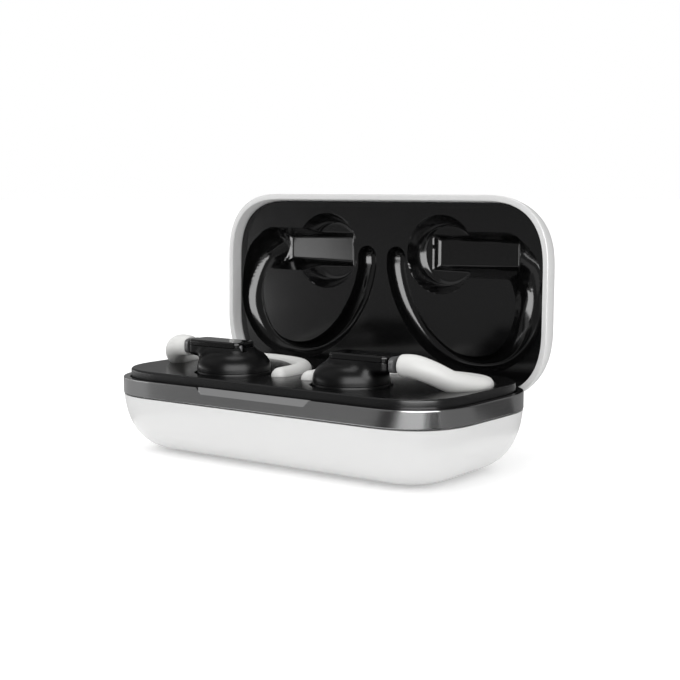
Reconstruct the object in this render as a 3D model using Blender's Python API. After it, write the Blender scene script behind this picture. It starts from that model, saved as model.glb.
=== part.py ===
"""Charging case for ear-hook wireless earbuds: hinged lid, base and a mirrored pair of earbuds.

Sizes are in millimetres. Heights count from the seam, where the closed lid meets the base, and
solid() lifts everything so that the case's underside is at z = 0. The lid is drawn closed and the
carrier on its hinge axis turns it open. Earbud pieces are drawn for the right earbud and mirrored.
"""

import math

import bpy
import numpy as np

MM = 0.001
GAP = 0.3  # clearance between pieces that seat on each other

# Case plan and heights
CASE_WIDTH = 98.0
CASE_DEPTH = 49.0
CORNER_SIZE = 18.2
CORNER_POWER = 2.63  # above 2 the corner is squarer than a circle
BASE_HEIGHT = 18.4
BASE_ROUND = 14.0  # how far the underside draws in from the wall
BASE_POWER = 2.57
LID_HEIGHT = 14.0
LID_ROUND = 10.0
LID_POWER = 1.7
LID_GAP = 0.25  # between the closed lid's rim and the band

# Walls
WALL = 1.8
FLOOR = 1.6
LID_WALL = 1.45
LID_ROOF = 1.5
BAND_HEIGHT = 4.0
BAND_WALL = 1.45
LIP_WALL = 1.45
DECK_RISE = 2.1  # plinth above the seam
DECK_DROP = 2.8  # plate below the seam
TRAY_DEPTH = 2.94  # tray face behind the lid's rim
TRAY_FACE = LID_GAP + TRAY_DEPTH
TRAY_PLATE = 1.2
TRAY_WALL = 0.9
TRAY_DRAW_IN = 0.2

# Thumb notch in the band's front edge
NOTCH_HALF = 16.7
NOTCH_HEIGHT = 1.5
NOTCH_DEPTH = 0.9

# Hinge
HINGE_Y = CASE_DEPTH / 2 - 2.56
HINGE_Z = -1.70
HINGE_ROLL = 1.70  # radius of the base's rolled back edge about the hinge axis
OPEN_ANGLE = math.radians(90.69)
PIN_RADIUS = 0.75
BORE_RADIUS = 1.0
KNUCKLE_RADIUS = 1.45
LID_KNUCKLE_HALF = 6.0
BASE_KNUCKLE_HALF = 13.0
SPRING_HALF = 2.4
SPRING_WIRE = 0.2
SPRING_TURNS = 4
HINGE_WINDOW_HALF = BASE_KNUCKLE_HALF + 2 * GAP
ARM_FRONT = HINGE_Y - 1.54
ARM_THICKNESS = 0.9
ARM_TOP = TRAY_FACE + TRAY_PLATE + GAP + ARM_THICKNESS
STAKE_X = 5.2
STAKE_Y = HINGE_Y - 5.54
STAKE_RADIUS = 0.8
STAKE_HEAD = 1.4
POST_RADIUS = 1.7
SCREW_RADIUS = 0.8
SCREW_HEAD = 1.5

# Earbud
BELL_X = 17.64
BELL_Y = -9.8
BELL_RADIUS = 8.9
BELL_WALL = 1.1
BELL_FOOT = -1.3  # underside of the bell
BELL_SPLIT = 2.6  # where the two half shells meet
BELL_TOP = 7.2
STEM_INNER = 13.4
STEM_OUTER = 29.6
STEM_Y = -10.0
STEM_HALF_DEPTH = 3.6
STEM_BOTTOM = 5.7
STEM_TOP = 9.6
COVER_THICKNESS = 1.4
COLLAR_LENGTH = 1.1
MIC_Y = STEM_Y - 1.8
MIC_WIDTH = 0.9
MIC_LOW = STEM_TOP - 2.2
MIC_HIGH = STEM_TOP - 0.7
NOZZLE_X = BELL_X - 1.4
NOZZLE_Y = BELL_Y + 1.6
NOZZLE_RADIUS = 2.7
NOZZLE_BORE = 1.8
NOZZLE_LENGTH = 4.4
TIP_RADIUS = BELL_RADIUS - 3.7
TIP_LENGTH = 6.2
DRIVER_RADIUS = BELL_RADIUS - 3.7
CELL_RADIUS = BELL_RADIUS - 3.9

# Ear hook: x, y, z of its centre line and its radius, from the collar round to the tip
HOOK_ROUTE = (
    (31.4, -10.0, 7.5, 2.50),
    (34.9, -9.8, 7.4, 2.65),
    (38.2, -8.2, 6.2, 2.60),
    (41.2, -5.0, 4.1, 2.50),
    (42.9, -0.6, 2.9, 2.35),
    (43.2, 4.3, 2.2, 2.15),
    (41.4, 9.4, 1.8, 1.95),
    (37.6, 13.5, 1.6, 1.75),
    (32.6, 16.2, 1.5, 1.60),
    (27.0, 16.8, 1.5, 1.55),
    (21.0, 15.5, 1.5, 1.65),
    (15.2, 12.3, 1.6, 1.85),
    (10.4, 8.0, 1.7, 2.05),
    (7.0, 3.1, 1.8, 2.20),
    (4.9, -2.5, 1.8, 2.25),
    (4.5, -8.2, 1.8, 2.20),
)
HOOK_STEPS = 2  # rings between two points of the route
HOOK_SIDES = 10
GROOVE_CLEARANCE = 0.4

# Pockets of the deck and of the lid's tray
WELL_RADIUS = BELL_RADIUS + 0.7
WELL_FLOOR = BELL_FOOT - GAP
TIP_WELL_RADIUS = TIP_RADIUS + 0.5
TIP_WELL_FLOOR = -10.0
WELL_WALL = 1.2
TRAY_BELL_RADIUS = 9.8
TRAY_BELL_FLOOR = 7.9
TRAY_STEM_FLOOR = 10.8
TRAY_STEM_FRONT = -15.6
TRAY_STEM_BACK = -4.4
TRAY_STEM_INNER = 11.2
TRAY_STEM_OUTER = 38.0
TRAY_DRAFT = 2.0
# Hook channel of the tray: x, y of its centre line, its half width at the face, its floor
TRAY_ROUTE = (
    (36.5, -10.1, 5.2, 10.6),
    (40.6, -7.2, 4.4, 9.6),
    (42.6, -1.0, 3.8, 7.6),
    (42.4, 5.2, 3.8, 6.7),
    (39.8, 11.0, 3.2, 6.6),
    (35.4, 15.0, 2.5, 6.6),
    (29.4, 16.7, 2.1, 6.6),
    (23.0, 16.3, 2.1, 6.6),
    (17.6, 14.0, 2.3, 6.6),
    (12.7, 10.2, 2.5, 6.6),
    (9.0, 5.5, 2.7, 6.6),
    (6.2, 0.2, 2.8, 6.6),
    (4.6, -5.4, 2.85, 6.6),
    (4.5, -8.6, 2.85, 6.6),
)

# Charging pins
PIN_PITCH = 3.0
CHARGE_Y = BELL_Y - 7.2
PLUNGER_RADIUS = 0.45
PLUNGER_HOLE = 0.75
PLUNGER_TRAVEL = 0.8
PAD_RADIUS = 0.8
PAD_THICKNESS = 0.3
PAD_RECESS = 0.7
BLOCK_LENGTH = 5.6
BLOCK_DEPTH = 2.6
BLOCK_HEIGHT = 4.0

# Magnets
CLOSING_X = 33.0
CLOSING_Y = 5.6 - CASE_DEPTH / 2
CLOSING_RADIUS = 1.7
MAGNET_HEIGHT = 2.0
HOLD_RADIUS = 0.9
HOLD_REACH = BELL_RADIUS - 2.3  # from the bell's axis

# Electronics of the base
CELL_LENGTH = 35.0
CELL_WIDTH = 20.0
CELL_HEIGHT = 5.0
BOARD_LENGTH = 40.0
BOARD_FRONT = 1.0
BOARD_BACK = HINGE_Y - 5.64
BOARD_TOP = -9.4
BOARD_THICKNESS = 1.0
BOARD_POST_X = 16.0
BOARD_POST_Y = 13.0
HINGE_POST_X = 10.0
HINGE_POST_Y = HINGE_Y - 3.54
HINGE_POST_FOOT = 3.6  # above the underside, where the floor has curved up into the back wall
FLANGE_TOP = -7.0
FLANGE_THICKNESS = 1.0
PORT_WIDTH = 8.9
PORT_HEIGHT = 3.2
PORT_MOUTH = CASE_DEPTH / 2 - 3.3
PORT_FRONT = PORT_MOUTH - 6.3
PORT_WALL = 0.3

PLAN_STEPS = 8
ROUND_SIDES = 28
SMALL_SIDES = 12

WHITE = (0.86, 0.86, 0.85)
BLACK = (0.012, 0.012, 0.013)
RUBBER = (0.018, 0.018, 0.019)
GREY = (0.30, 0.30, 0.31)
STEEL = (0.60, 0.60, 0.62)
GOLD = (0.83, 0.62, 0.28)
COPPER_GREEN = (0.03, 0.16, 0.07)
FOIL = (0.50, 0.52, 0.56)
SILICONE = (0.02, 0.02, 0.021)
HOOK_WHITE = (0.74, 0.74, 0.72)


# ---------------------------------------------------------------- shapes


def outward(points, faces):
    """The same faces, all turned over when the volume they enclose comes out negative."""
    volume = 0.0
    for face in faces:
        corners = points[list(face)]
        volume += np.cross(corners[1:-1], corners[2:]).dot(corners[0]).sum()
    return faces if volume > 0 else [face[::-1] for face in faces]


def loft(rings, closed=False):
    """Points and faces of a skin through rings of equal length, capped at both ends or closed."""
    rings = [np.asarray(ring, float) for ring in rings]
    count = len(rings[0])
    faces = []
    last = len(rings) if closed else len(rings) - 1
    for row in range(last):
        here = row * count
        there = (row + 1) % len(rings) * count
        for column in range(count):
            beside = (column + 1) % count
            faces.append((here + column, here + beside, there + beside, there + column))
    if not closed:
        faces.append(tuple(reversed(range(count))))
        faces.append(tuple(range((len(rings) - 1) * count, len(rings) * count)))
    points = np.concatenate(rings)
    return points, outward(points, faces)


def plan_ring(inset, z):
    """The case's plan at one height, drawn in by inset: straight sides and superelliptic corners."""
    size = max(CORNER_SIZE - inset, 0.6)
    turn = np.linspace(0, math.pi / 2, PLAN_STEPS)
    along = CASE_WIDTH / 2 - inset - size + size * np.cos(turn) ** (2 / CORNER_POWER)
    across = CASE_DEPTH / 2 - inset - size + size * np.sin(turn) ** (2 / CORNER_POWER)
    x = np.concatenate((along, -along[::-1], -along, along[::-1]))
    y = np.concatenate((across, across[::-1], -across, -across[::-1]))
    return np.column_stack((x, y, np.full(len(x), z)))


def dished(depth, height, draw, power):
    """How far a shell's side has drawn in at this depth, out of draw at the full height."""
    share = min(depth / height, 1.0)
    return draw * (1 - (1 - share**power) ** (1 / power))


def dished_rings(wall, start, height, draw, power, sign, count):
    """Plan rings of a dished shell from its rim (depth start) to its flat end, on either side."""
    first = math.asin((start / height) ** (power / 2))
    rings = []
    for turn in np.linspace(first, math.pi / 2, count):
        depth = height * math.sin(turn) ** (2 / power)
        rings.append(plan_ring(wall + dished(depth, height, draw, power), sign * depth))
    return rings


def circle(radius, x, y, z, sides=ROUND_SIDES):
    turn = np.linspace(0, 2 * math.pi, sides, endpoint=False)
    return np.column_stack((x + radius * np.cos(turn), y + radius * np.sin(turn), np.full(sides, z)))


def turned(profile, x, y, sides=ROUND_SIDES, closed=False):
    """A round body about a vertical axis; the profile of (radius, z) runs up its outer side."""
    return loft([circle(radius, x, y, z, sides) for radius, z in profile], closed)


def disc(radius, x, y, low, high, sides=ROUND_SIDES):
    return turned(((radius, low), (radius, high)), x, y, sides)


def box(low, high):
    x = (low[0], high[0], high[0], low[0])
    y = (low[1], low[1], high[1], high[1])
    return loft([np.column_stack((x, y, np.full(4, z))) for z in (low[2], high[2])])


def rod(radius, y, z, start, end, sides=SMALL_SIDES):
    """A round bar along X."""
    turn = np.linspace(0, 2 * math.pi, sides, endpoint=False)
    return loft(
        [
            np.column_stack((np.full(sides, x), y + radius * np.cos(turn), z + radius * np.sin(turn)))
            for x in (start, end)
        ]
    )


def soft_bar(start, end, y, z, half_depth, half_height, rounding, sides=20, power=3.2):
    """A bar along X with a superelliptic section and rounded ends."""
    turn = np.linspace(0, 2 * math.pi, sides, endpoint=False)
    cos, sin = np.cos(turn), np.sin(turn)
    section_y = np.sign(cos) * np.abs(cos) ** (2 / power)
    section_z = np.sign(sin) * np.abs(sin) ** (2 / power)
    rings = []
    for share in (0.0, 0.3, 1.0):
        shrink = rounding * (1 - math.sqrt(1 - (1 - share) ** 2))
        rings.append((start + rounding * share, shrink))
    for share in (1.0, 0.3, 0.0):
        shrink = rounding * (1 - math.sqrt(1 - (1 - share) ** 2))
        rings.append((end - rounding * share, shrink))
    return loft(
        [
            np.column_stack(
                (
                    np.full(sides, x),
                    y + (half_depth - shrink) * section_y,
                    z + (half_height - shrink) * section_z,
                )
            )
            for x, shrink in rings
        ]
    )


def smooth_route(points, steps):
    """A Catmull-Rom curve through the points, each row carrying all of a point's values."""
    rows = np.asarray(points, float)
    padded = np.vstack((2 * rows[0] - rows[1], rows, 2 * rows[-1] - rows[-2]))
    shares = np.linspace(0, 1, steps, endpoint=False)[:, None]
    curve = []
    for before, here, there, after in zip(padded, padded[1:], padded[2:], padded[3:]):
        curve.append(
            0.5
            * (
                2 * here
                + (there - before) * shares
                + (2 * before - 5 * here + 4 * there - after) * shares**2
                + (3 * here - before - 3 * there + after) * shares**3
            )
        )
    return np.vstack(curve + [rows[-1]])


def directions(points):
    ahead = np.gradient(points, axis=0)
    return ahead / np.linalg.norm(ahead, axis=1)[:, None]


def hook_tube():
    """The hook: a round tube along its route with a domed end at the collar and at the tip."""
    route = smooth_route(HOOK_ROUTE, HOOK_STEPS)
    centre, radius = route[:, :3], route[:, 3]
    ahead = directions(centre)
    level = np.cross(ahead, (0.0, 0.0, 1.0))
    level /= np.linalg.norm(level, axis=1)[:, None]
    above = np.cross(level, ahead)
    turn = np.linspace(0, 2 * math.pi, HOOK_SIDES, endpoint=False)

    def ring(index, reach, share):
        spoke = np.outer(np.cos(turn), level[index]) + np.outer(np.sin(turn), above[index])
        return centre[index] + reach * ahead[index] + radius[index] * share * spoke

    domes = ((1.0, 0.25), (0.8, 0.6), (0.4, 0.92))
    rings = [ring(0, -0.45 * radius[0] * reach + 0.45 * radius[0], share) for reach, share in domes]
    rings += [ring(index, 0.0, 1.0) for index in range(1, len(centre))]
    rings += [ring(-1, radius[-1] * reach, share) for reach, share in reversed(domes)]
    return loft(rings)


def trench(route, widen, deepen, top, section):
    """A channel along a route of (x, y, half width, floor z), rounded in plan at both ends.

    section lists (share of the half width, share of the depth) from one brim to the other.
    """
    plan = np.column_stack((route[:, 0], route[:, 1], np.zeros(len(route))))
    ahead = directions(plan)
    aside = np.cross(ahead, (0.0, 0.0, 1.0))
    stations = [(index, 0.0, 1.0) for index in range(len(route))]
    end_turns = np.radians((30.0, 60.0, 84.0))
    head = [(0, -math.sin(turn), math.cos(turn)) for turn in end_turns[::-1]]
    tail = [(len(route) - 1, math.sin(turn), math.cos(turn)) for turn in end_turns]
    rings = []
    for index, reach, share in head + stations + tail:
        half = route[index, 2] + widen
        floor = route[index, 3] + deepen
        middle = plan[index] + reach * half * ahead[index]
        ring = []
        for across, down in section:
            place = middle + across * share * half * aside[index]
            place[2] = top + (floor - top) * down
            ring.append(place)
        rings.append(ring)
    return loft(rings)


def mirrored(shape, side):
    """The shape on the right (side 1), or its mirror image on the left (side -1)."""
    points, faces = shape
    if side > 0:
        return points, faces
    return points * (-1, 1, 1), [face[::-1] for face in faces]


# ---------------------------------------------------------------- scene helpers


def clear_scene():
    for old in list(bpy.data.objects):
        bpy.data.objects.remove(old, do_unlink=True)


def plastic(name, color, roughness, metallic=0.0):
    found = bpy.data.materials.get(name)
    if found:
        return found
    made = bpy.data.materials.new(name)
    made.use_nodes = True
    shader = made.node_tree.nodes["Principled BSDF"]
    shader.inputs["Base Color"].default_value = (*color, 1.0)
    shader.inputs["Roughness"].default_value = roughness
    shader.inputs["Metallic"].default_value = metallic
    return made


def carrier(name, origin, turn=0.0):
    """An empty on a joint's axis. Its pieces are drawn in the closed case's own coordinates."""
    empty = bpy.data.objects.new(name, None)
    bpy.context.scene.collection.objects.link(empty)
    empty.location = (origin[0] * MM, origin[1] * MM, (origin[2] + BASE_HEIGHT) * MM)
    empty.rotation_euler.x = turn
    empty["drawn_from"] = [float(value) for value in origin]
    return empty


def solid(name, shape, material=None, held_by=None):
    """One closed body as an object, measured from its carrier's axis or from the underside."""
    points, faces = shape
    origin = np.array(held_by["drawn_from"]) if held_by else np.array((0.0, 0.0, -BASE_HEIGHT))
    mesh = bpy.data.meshes.new(name)
    mesh.from_pydata(((points - origin) * MM).tolist(), [], faces)
    mesh.update()
    if material:
        mesh.materials.append(material)
    made = bpy.data.objects.new(name, mesh)
    bpy.context.scene.collection.objects.link(made)
    made.parent = held_by
    return made


def combine(body, shapes, operation):
    """Carves the shapes out of the body, or joins them to it."""
    for shape in shapes:
        tool = solid("tool", shape, None, body.parent)
        modifier = body.modifiers.new("combine", "BOOLEAN")
        modifier.object = tool
        modifier.operation = operation
        bpy.context.view_layer.update()
        evaluated = body.evaluated_get(bpy.context.evaluated_depsgraph_get())
        result = bpy.data.meshes.new_from_object(evaluated)
        body.modifiers.clear()
        body.data = result
        bpy.data.objects.remove(tool, do_unlink=True)
    return body


def carve(body, shapes):
    return combine(body, shapes, "DIFFERENCE")


def join(body, shapes):
    return combine(body, shapes, "UNION")


def smooth(body, angle=35.0):
    body.data.shade_smooth()
    body.data.set_sharp_from_angle(angle=math.radians(angle))
    return body


# ---------------------------------------------------------------- base


def back_relief():
    """What the rolled back edge leaves out: room for the lid's rear rim as it swings down."""
    turn = np.radians((0, 16, 32, 48, 64, 78))
    start = HINGE_Y + HINGE_ROLL * math.cos(turn[-1])
    y = np.concatenate((HINGE_Y + HINGE_ROLL * np.cos(turn), [start, CASE_DEPTH, CASE_DEPTH]))
    z = np.concatenate((HINGE_Z + HINGE_ROLL * np.sin(turn), [3.0, 3.0, HINGE_Z - 3.05]))
    y = np.append(y, HINGE_Y + HINGE_ROLL)
    z = np.append(z, HINGE_Z - 3.05)
    return loft([np.column_stack((np.full(len(y), x), y, z)) for x in (-CASE_WIDTH, CASE_WIDTH)])


def hinge_window(front, bottom):
    return box((-HINGE_WINDOW_HALF, front, bottom), (HINGE_WINDOW_HALF, CASE_DEPTH, 3.0))


def port_hole():
    top = BOARD_TOP - BOARD_THICKNESS - GAP
    half = PORT_WIDTH / 2 + GAP
    return box((-half, PORT_FRONT + 2.0, top - PORT_HEIGHT - GAP), (half, CASE_DEPTH, top + GAP))


def build_base_shell():
    """White lower shell: a dished tub with a lip that carries the deck, and posts on its floor."""
    top = BAND_HEIGHT + GAP
    lip_top = DECK_DROP + GAP
    lip = BAND_WALL + GAP
    outer = dished_rings(0.0, top, BASE_HEIGHT, BASE_ROUND, BASE_POWER, -1, 9)
    inner = dished_rings(WALL, top + 2.0, BASE_HEIGHT - FLOOR, BASE_ROUND, BASE_POWER, -1, 6)
    rim = [
        plan_ring(lip, -top),
        plan_ring(lip, -lip_top),
        plan_ring(lip + LIP_WALL, -lip_top),
        plan_ring(lip + LIP_WALL, -top - 0.8),
    ]
    shell = solid("base_shell", loft(outer[::-1] + rim + inner), plastic("white_shell", WHITE, 0.3))
    floor = -BASE_HEIGHT + FLOOR / 2
    board_post = BOARD_TOP - BOARD_THICKNESS - GAP
    hinge_post = FLANGE_TOP - FLANGE_THICKNESS - GAP
    posts = []
    for side in (1, -1):
        posts.append(disc(POST_RADIUS, side * BOARD_POST_X, BOARD_POST_Y, floor, board_post, SMALL_SIDES))
        foot = -BASE_HEIGHT + HINGE_POST_FOOT
        posts.append(disc(POST_RADIUS, side * HINGE_POST_X, HINGE_POST_Y, foot, hinge_post, SMALL_SIDES))
    join(shell, posts)
    bores = [
        disc(BORE_RADIUS + 0.1, side * HINGE_POST_X, HINGE_POST_Y, hinge_post - 3.2, hinge_post + 1, 12)
        for side in (1, -1)
    ]
    half = HINGE_WINDOW_HALF
    lip_gap = box((-half, 19.0, FLANGE_TOP - GAP), (half, CASE_DEPTH / 2 - WALL - 0.5, 0.0))
    carve(shell, [*bores, back_relief(), hinge_window(19.0, -top), lip_gap, port_hole()])
    return smooth(shell)


def build_trim_band():
    """Gloss black band round the top of the base, with the thumb notch in its front edge."""
    edge = 0.2
    rings = [
        plan_ring(0.0, -BAND_HEIGHT),
        plan_ring(0.0, -edge),
        plan_ring(edge, 0.0),
        plan_ring(BAND_WALL, 0.0),
        plan_ring(BAND_WALL, -BAND_HEIGHT),
    ]
    band = solid("trim_band", loft(rings, closed=True), plastic("gloss_black", BLACK, 0.08))
    front = -CASE_DEPTH / 2
    rings = []
    for share in (-0.3, 1.3):
        half = NOTCH_HALF - NOTCH_HEIGHT * (1 - share)
        y, z = front + NOTCH_DEPTH * share, NOTCH_HEIGHT * (share - 1)
        rings.append([(-half, y, z), (half, y, z), (half, y - 4.0, z), (-half, y - 4.0, z)])
    notch = loft(rings)
    carve(band, [notch, back_relief(), hinge_window(19.0, -BAND_HEIGHT - 1.0)])
    return smooth(band, 25.0)


def hook_groove():
    """The deck's groove for the lower half of the hook, open upwards."""
    route = smooth_route(HOOK_ROUTE[3:], 2)
    half = route[:, 3]
    floor = route[:, 2] - half - GROOVE_CLEARANCE
    rows = np.column_stack((route[:, 0], route[:, 1], half + GROOVE_CLEARANCE, floor))
    turn = np.linspace(0, math.pi, 7)
    section = [(-1.0, 0.0)] + [(-math.cos(t), 0.45 + 0.55 * math.sin(t)) for t in turn] + [(1.0, 0.0)]
    return trench(rows, 0.0, 0.0, DECK_RISE + 3.0, section)


def build_deck():
    """Gloss black deck: a plinth with wells for the bells and tips and grooves for the hooks."""
    foot = BAND_WALL + GAP
    rings = [
        plan_ring(foot, -DECK_DROP),
        plan_ring(foot, DECK_RISE - 0.5),
        plan_ring(foot + 0.15, DECK_RISE - 0.15),
        plan_ring(foot + 0.5, DECK_RISE),
    ]
    deck = solid("base_deck", loft(rings), plastic("gloss_black", BLACK, 0.08))
    for side in (1, -1):
        cup = disc(TIP_WELL_RADIUS + WELL_WALL, NOZZLE_X, NOZZLE_Y, TIP_WELL_FLOOR - WELL_WALL, -1.7)
        join(deck, [mirrored(cup, side)])
        cuts = [
            disc(WELL_RADIUS, BELL_X, BELL_Y, WELL_FLOOR, DECK_RISE + 1.0),
            disc(TIP_WELL_RADIUS, NOZZLE_X, NOZZLE_Y, TIP_WELL_FLOOR, 1.0),
            hook_groove(),
        ]
        for pitch in (-0.5, 0.5):
            hole_x = BELL_X + pitch * PIN_PITCH
            cuts.append(disc(PLUNGER_HOLE, hole_x, CHARGE_Y, -DECK_DROP - 1.0, 1.0, 12))
        carve(deck, [mirrored(cut, side) for cut in cuts])
    carve(deck, [hinge_window(HINGE_Y - KNUCKLE_RADIUS - 2 * GAP, -DECK_DROP - 1.0)])
    return smooth(deck)


def build_base_electronics():
    """Cell on the floor, board on its posts, USB-C socket under the board's back edge."""
    low = -BASE_HEIGHT + FLOOR + GAP
    solid(
        "case_battery",
        box((-CELL_LENGTH / 2, -CELL_WIDTH / 2, low), (CELL_LENGTH / 2, CELL_WIDTH / 2, low + CELL_HEIGHT)),
        plastic("foil", FOIL, 0.35, 0.6),
    )
    underside = BOARD_TOP - BOARD_THICKNESS
    solid(
        "main_board",
        box((-BOARD_LENGTH / 2, BOARD_FRONT, underside), (BOARD_LENGTH / 2, BOARD_BACK, BOARD_TOP)),
        plastic("circuit_board", COPPER_GREEN, 0.45),
    )
    solid(
        "lid_sensor",
        box((12.0, 3.0, BOARD_TOP + GAP), (15.0, 4.6, BOARD_TOP + GAP + 0.8)),
        plastic("chip_black", RUBBER, 0.5),
    )
    top = underside - GAP
    half = PORT_WIDTH / 2
    port = solid(
        "usb_socket",
        box((-half, PORT_FRONT, top - PORT_HEIGHT), (half, PORT_MOUTH, top)),
        plastic("steel", STEEL, 0.25, 1.0),
    )
    inside = box(
        (-half + PORT_WALL, PORT_FRONT + PORT_WALL, top - PORT_HEIGHT + PORT_WALL),
        (half - PORT_WALL, PORT_MOUTH + 1.0, top - PORT_WALL),
    )
    carve(port, [inside])
    middle = top - PORT_HEIGHT / 2
    solid(
        "usb_tongue",
        box((-3.3, PORT_FRONT + PORT_WALL + GAP, middle - 0.35), (3.3, PORT_MOUTH - 1.0, middle + 0.35)),
        plastic("chip_black", RUBBER, 0.5),
    )


def build_charging(side, name):
    """Two sprung plungers in a holder under the deck, and the magnet that seats the earbud."""
    top = -DECK_DROP - GAP
    middle_y = CHARGE_Y
    block = solid(
        f"pin_holder_{name}",
        mirrored(
            box(
                (BELL_X - BLOCK_LENGTH / 2, middle_y - BLOCK_DEPTH / 2, top - BLOCK_HEIGHT),
                (BELL_X + BLOCK_LENGTH / 2, middle_y + BLOCK_DEPTH / 2, top),
            ),
            side,
        ),
        plastic("chip_black", RUBBER, 0.5),
    )
    tip = BELL_FOOT + PAD_RECESS - GAP - PAD_THICKNESS - 0.25
    foot = top - 2.2
    holes = []
    for number, pitch in ((1, -0.5), (2, 0.5)):
        x = BELL_X + pitch * PIN_PITCH
        holes.append(mirrored(disc(PLUNGER_HOLE, x, middle_y, foot - PLUNGER_TRAVEL - GAP, 1.0, 12), side))
        plunger = turned(
            ((PLUNGER_RADIUS, foot), (PLUNGER_RADIUS, tip - 0.15), (PLUNGER_RADIUS - 0.2, tip)),
            x,
            middle_y,
            12,
        )
        holder = carrier(f"plunger_axis_{name}_{number}", (side * x, middle_y, tip))
        gold = plastic("gold", GOLD, 0.2, 1.0)
        smooth(solid(f"plunger_{name}_{number}", mirrored(plunger, side), gold, holder))
    carve(block, holes)
    magnet = disc(HOLD_RADIUS, BELL_X + HOLD_REACH, BELL_Y, top - MAGNET_HEIGHT, top, SMALL_SIDES)
    smooth(solid(f"seat_magnet_{name}", mirrored(magnet, side), plastic("steel", STEEL, 0.25, 1.0)))
    magnet = disc(CLOSING_RADIUS, CLOSING_X, CLOSING_Y, top - MAGNET_HEIGHT, top, SMALL_SIDES)
    smooth(solid(f"base_magnet_{name}", mirrored(magnet, side), plastic("steel", STEEL, 0.25, 1.0)))


def screw(head_z, x, y, length, pointing):
    """A countersunk-free pan screw along Z; pointing is -1 when its shank goes down."""
    profile = [(SCREW_RADIUS, head_z + pointing * length), (SCREW_RADIUS, head_z)]
    profile += [(SCREW_HEAD, head_z), (SCREW_HEAD, head_z - pointing * 0.7)]
    profile.append((SCREW_HEAD - 0.4, head_z - pointing))
    if pointing > 0:
        profile.reverse()
    return turned(profile, x, y, SMALL_SIDES)


def build_base_hinge():
    """Steel bracket screwed to two posts, with a knuckle at each end of the pin."""
    steel = plastic("steel", STEEL, 0.25, 1.0)
    underside = FLANGE_TOP - FLANGE_THICKNESS
    half = BASE_KNUCKLE_HALF
    web_front = HINGE_Y - KNUCKLE_RADIUS
    bracket = solid(
        "hinge_bracket",
        box((-half, HINGE_POST_Y - 2.2, underside), (half, web_front + 1.1, FLANGE_TOP)),
        steel,
    )
    web = [box((-half, web_front, underside + 0.4), (half, web_front + 1.1, HINGE_Z - 2.0))]
    for side in (1, -1):
        inner, outer = LID_KNUCKLE_HALF + GAP, half
        ear = box((inner, web_front, HINGE_Z - 2.4), (outer, web_front + 1.1, HINGE_Z))
        web.append(mirrored(ear, side))
        web.append(mirrored(rod(KNUCKLE_RADIUS, HINGE_Y, HINGE_Z, inner, outer, 20), side))
    join(bracket, web)
    holes = [rod(BORE_RADIUS, HINGE_Y, HINGE_Z, -half - 1.0, half + 1.0)]
    for x in (HINGE_POST_X, -HINGE_POST_X):
        holes.append(disc(BORE_RADIUS + 0.1, x, HINGE_POST_Y, underside - 1, FLANGE_TOP + 1, 12))
    carve(bracket, holes)
    smooth(bracket)
    smooth(solid("hinge_pin", rod(PIN_RADIUS, HINGE_Y, HINGE_Z, -half + 0.4, half - 0.4), steel))
    for side, name in ((1, "right"), (-1, "left")):
        shape = screw(FLANGE_TOP + GAP, side * HINGE_POST_X, HINGE_POST_Y, 4.0, -1)
        smooth(solid(f"bracket_screw_{name}", shape, steel))


def build_spring():
    """Torsion spring coiled round the pin between the lid's knuckles, one leg on the bracket."""
    coil_radius = PIN_RADIUS + GAP + SPRING_WIRE
    turns = np.linspace(0, SPRING_TURNS * 2 * math.pi, SPRING_TURNS * 10 + 1)
    reach = SPRING_HALF - GAP - SPRING_WIRE
    x = np.linspace(-reach, reach, len(turns))
    y = HINGE_Y + coil_radius * np.cos(turns + math.pi)
    z = HINGE_Z + coil_radius * np.sin(turns + math.pi)
    leg = np.array([(reach, y[-1], z[-1] - 0.9), (reach, y[-1], z[-1] - 1.8)])
    centre = np.vstack((np.column_stack((x, y, z)), leg))
    ahead = directions(centre)
    outward = np.column_stack((np.zeros(len(centre)), centre[:, 1] - HINGE_Y, centre[:, 2] - HINGE_Z))
    outward -= (outward * ahead).sum(1)[:, None] * ahead
    outward /= np.linalg.norm(outward, axis=1)[:, None]
    aside = np.cross(ahead, outward)
    turn = np.linspace(0, 2 * math.pi, 5, endpoint=False)
    rings = [
        middle + SPRING_WIRE * (np.outer(np.cos(turn), out) + np.outer(np.sin(turn), across))
        for middle, out, across in zip(centre, outward, aside)
    ]
    smooth(solid("hinge_spring", loft(rings), plastic("steel", STEEL, 0.25, 1.0)), 60.0)


# ---------------------------------------------------------------- lid


def lid_rings(wall, start, height, count):
    rings = dished_rings(wall, start, height, LID_ROUND, LID_POWER, 1, count)
    return [ring + (0.0, 0.0, LID_GAP) for ring in rings]


def build_lid_shell(hinge):
    """White lid: a dished shell whose inner wall runs straight from the flat rim to the tray."""
    edge = 0.25
    draw = TRAY_DRAW_IN
    inner = [plan_ring(LID_WALL, LID_GAP), plan_ring(LID_WALL + 2 * draw, TRAY_FACE + TRAY_PLATE)]
    inner += lid_rings(LID_WALL, TRAY_DEPTH * 2, LID_HEIGHT - LID_ROOF, 6)
    outer = [plan_ring(edge, LID_GAP), plan_ring(0.0, LID_GAP + edge)]
    outer += lid_rings(0.0, 2.5, LID_HEIGHT, 8)
    return smooth(solid("lid_shell", loft(inner[::-1] + outer), plastic("white_shell", WHITE, 0.3), hinge))


def tray_channel(widen, deepen, top, steps, facets):
    """The tray's channel for the hook, half round in section and rounded at its tip."""
    rows = smooth_route(TRAY_ROUTE, steps)
    turn = np.linspace(0, math.pi, facets + 1)
    share = 0.1
    section = [(-1.0, 0.0)] + [(-math.cos(t), share + (1 - share) * math.sin(t)) for t in turn] + [(1.0, 0.0)]
    return trench(rows, widen, deepen, top, section)


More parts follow.
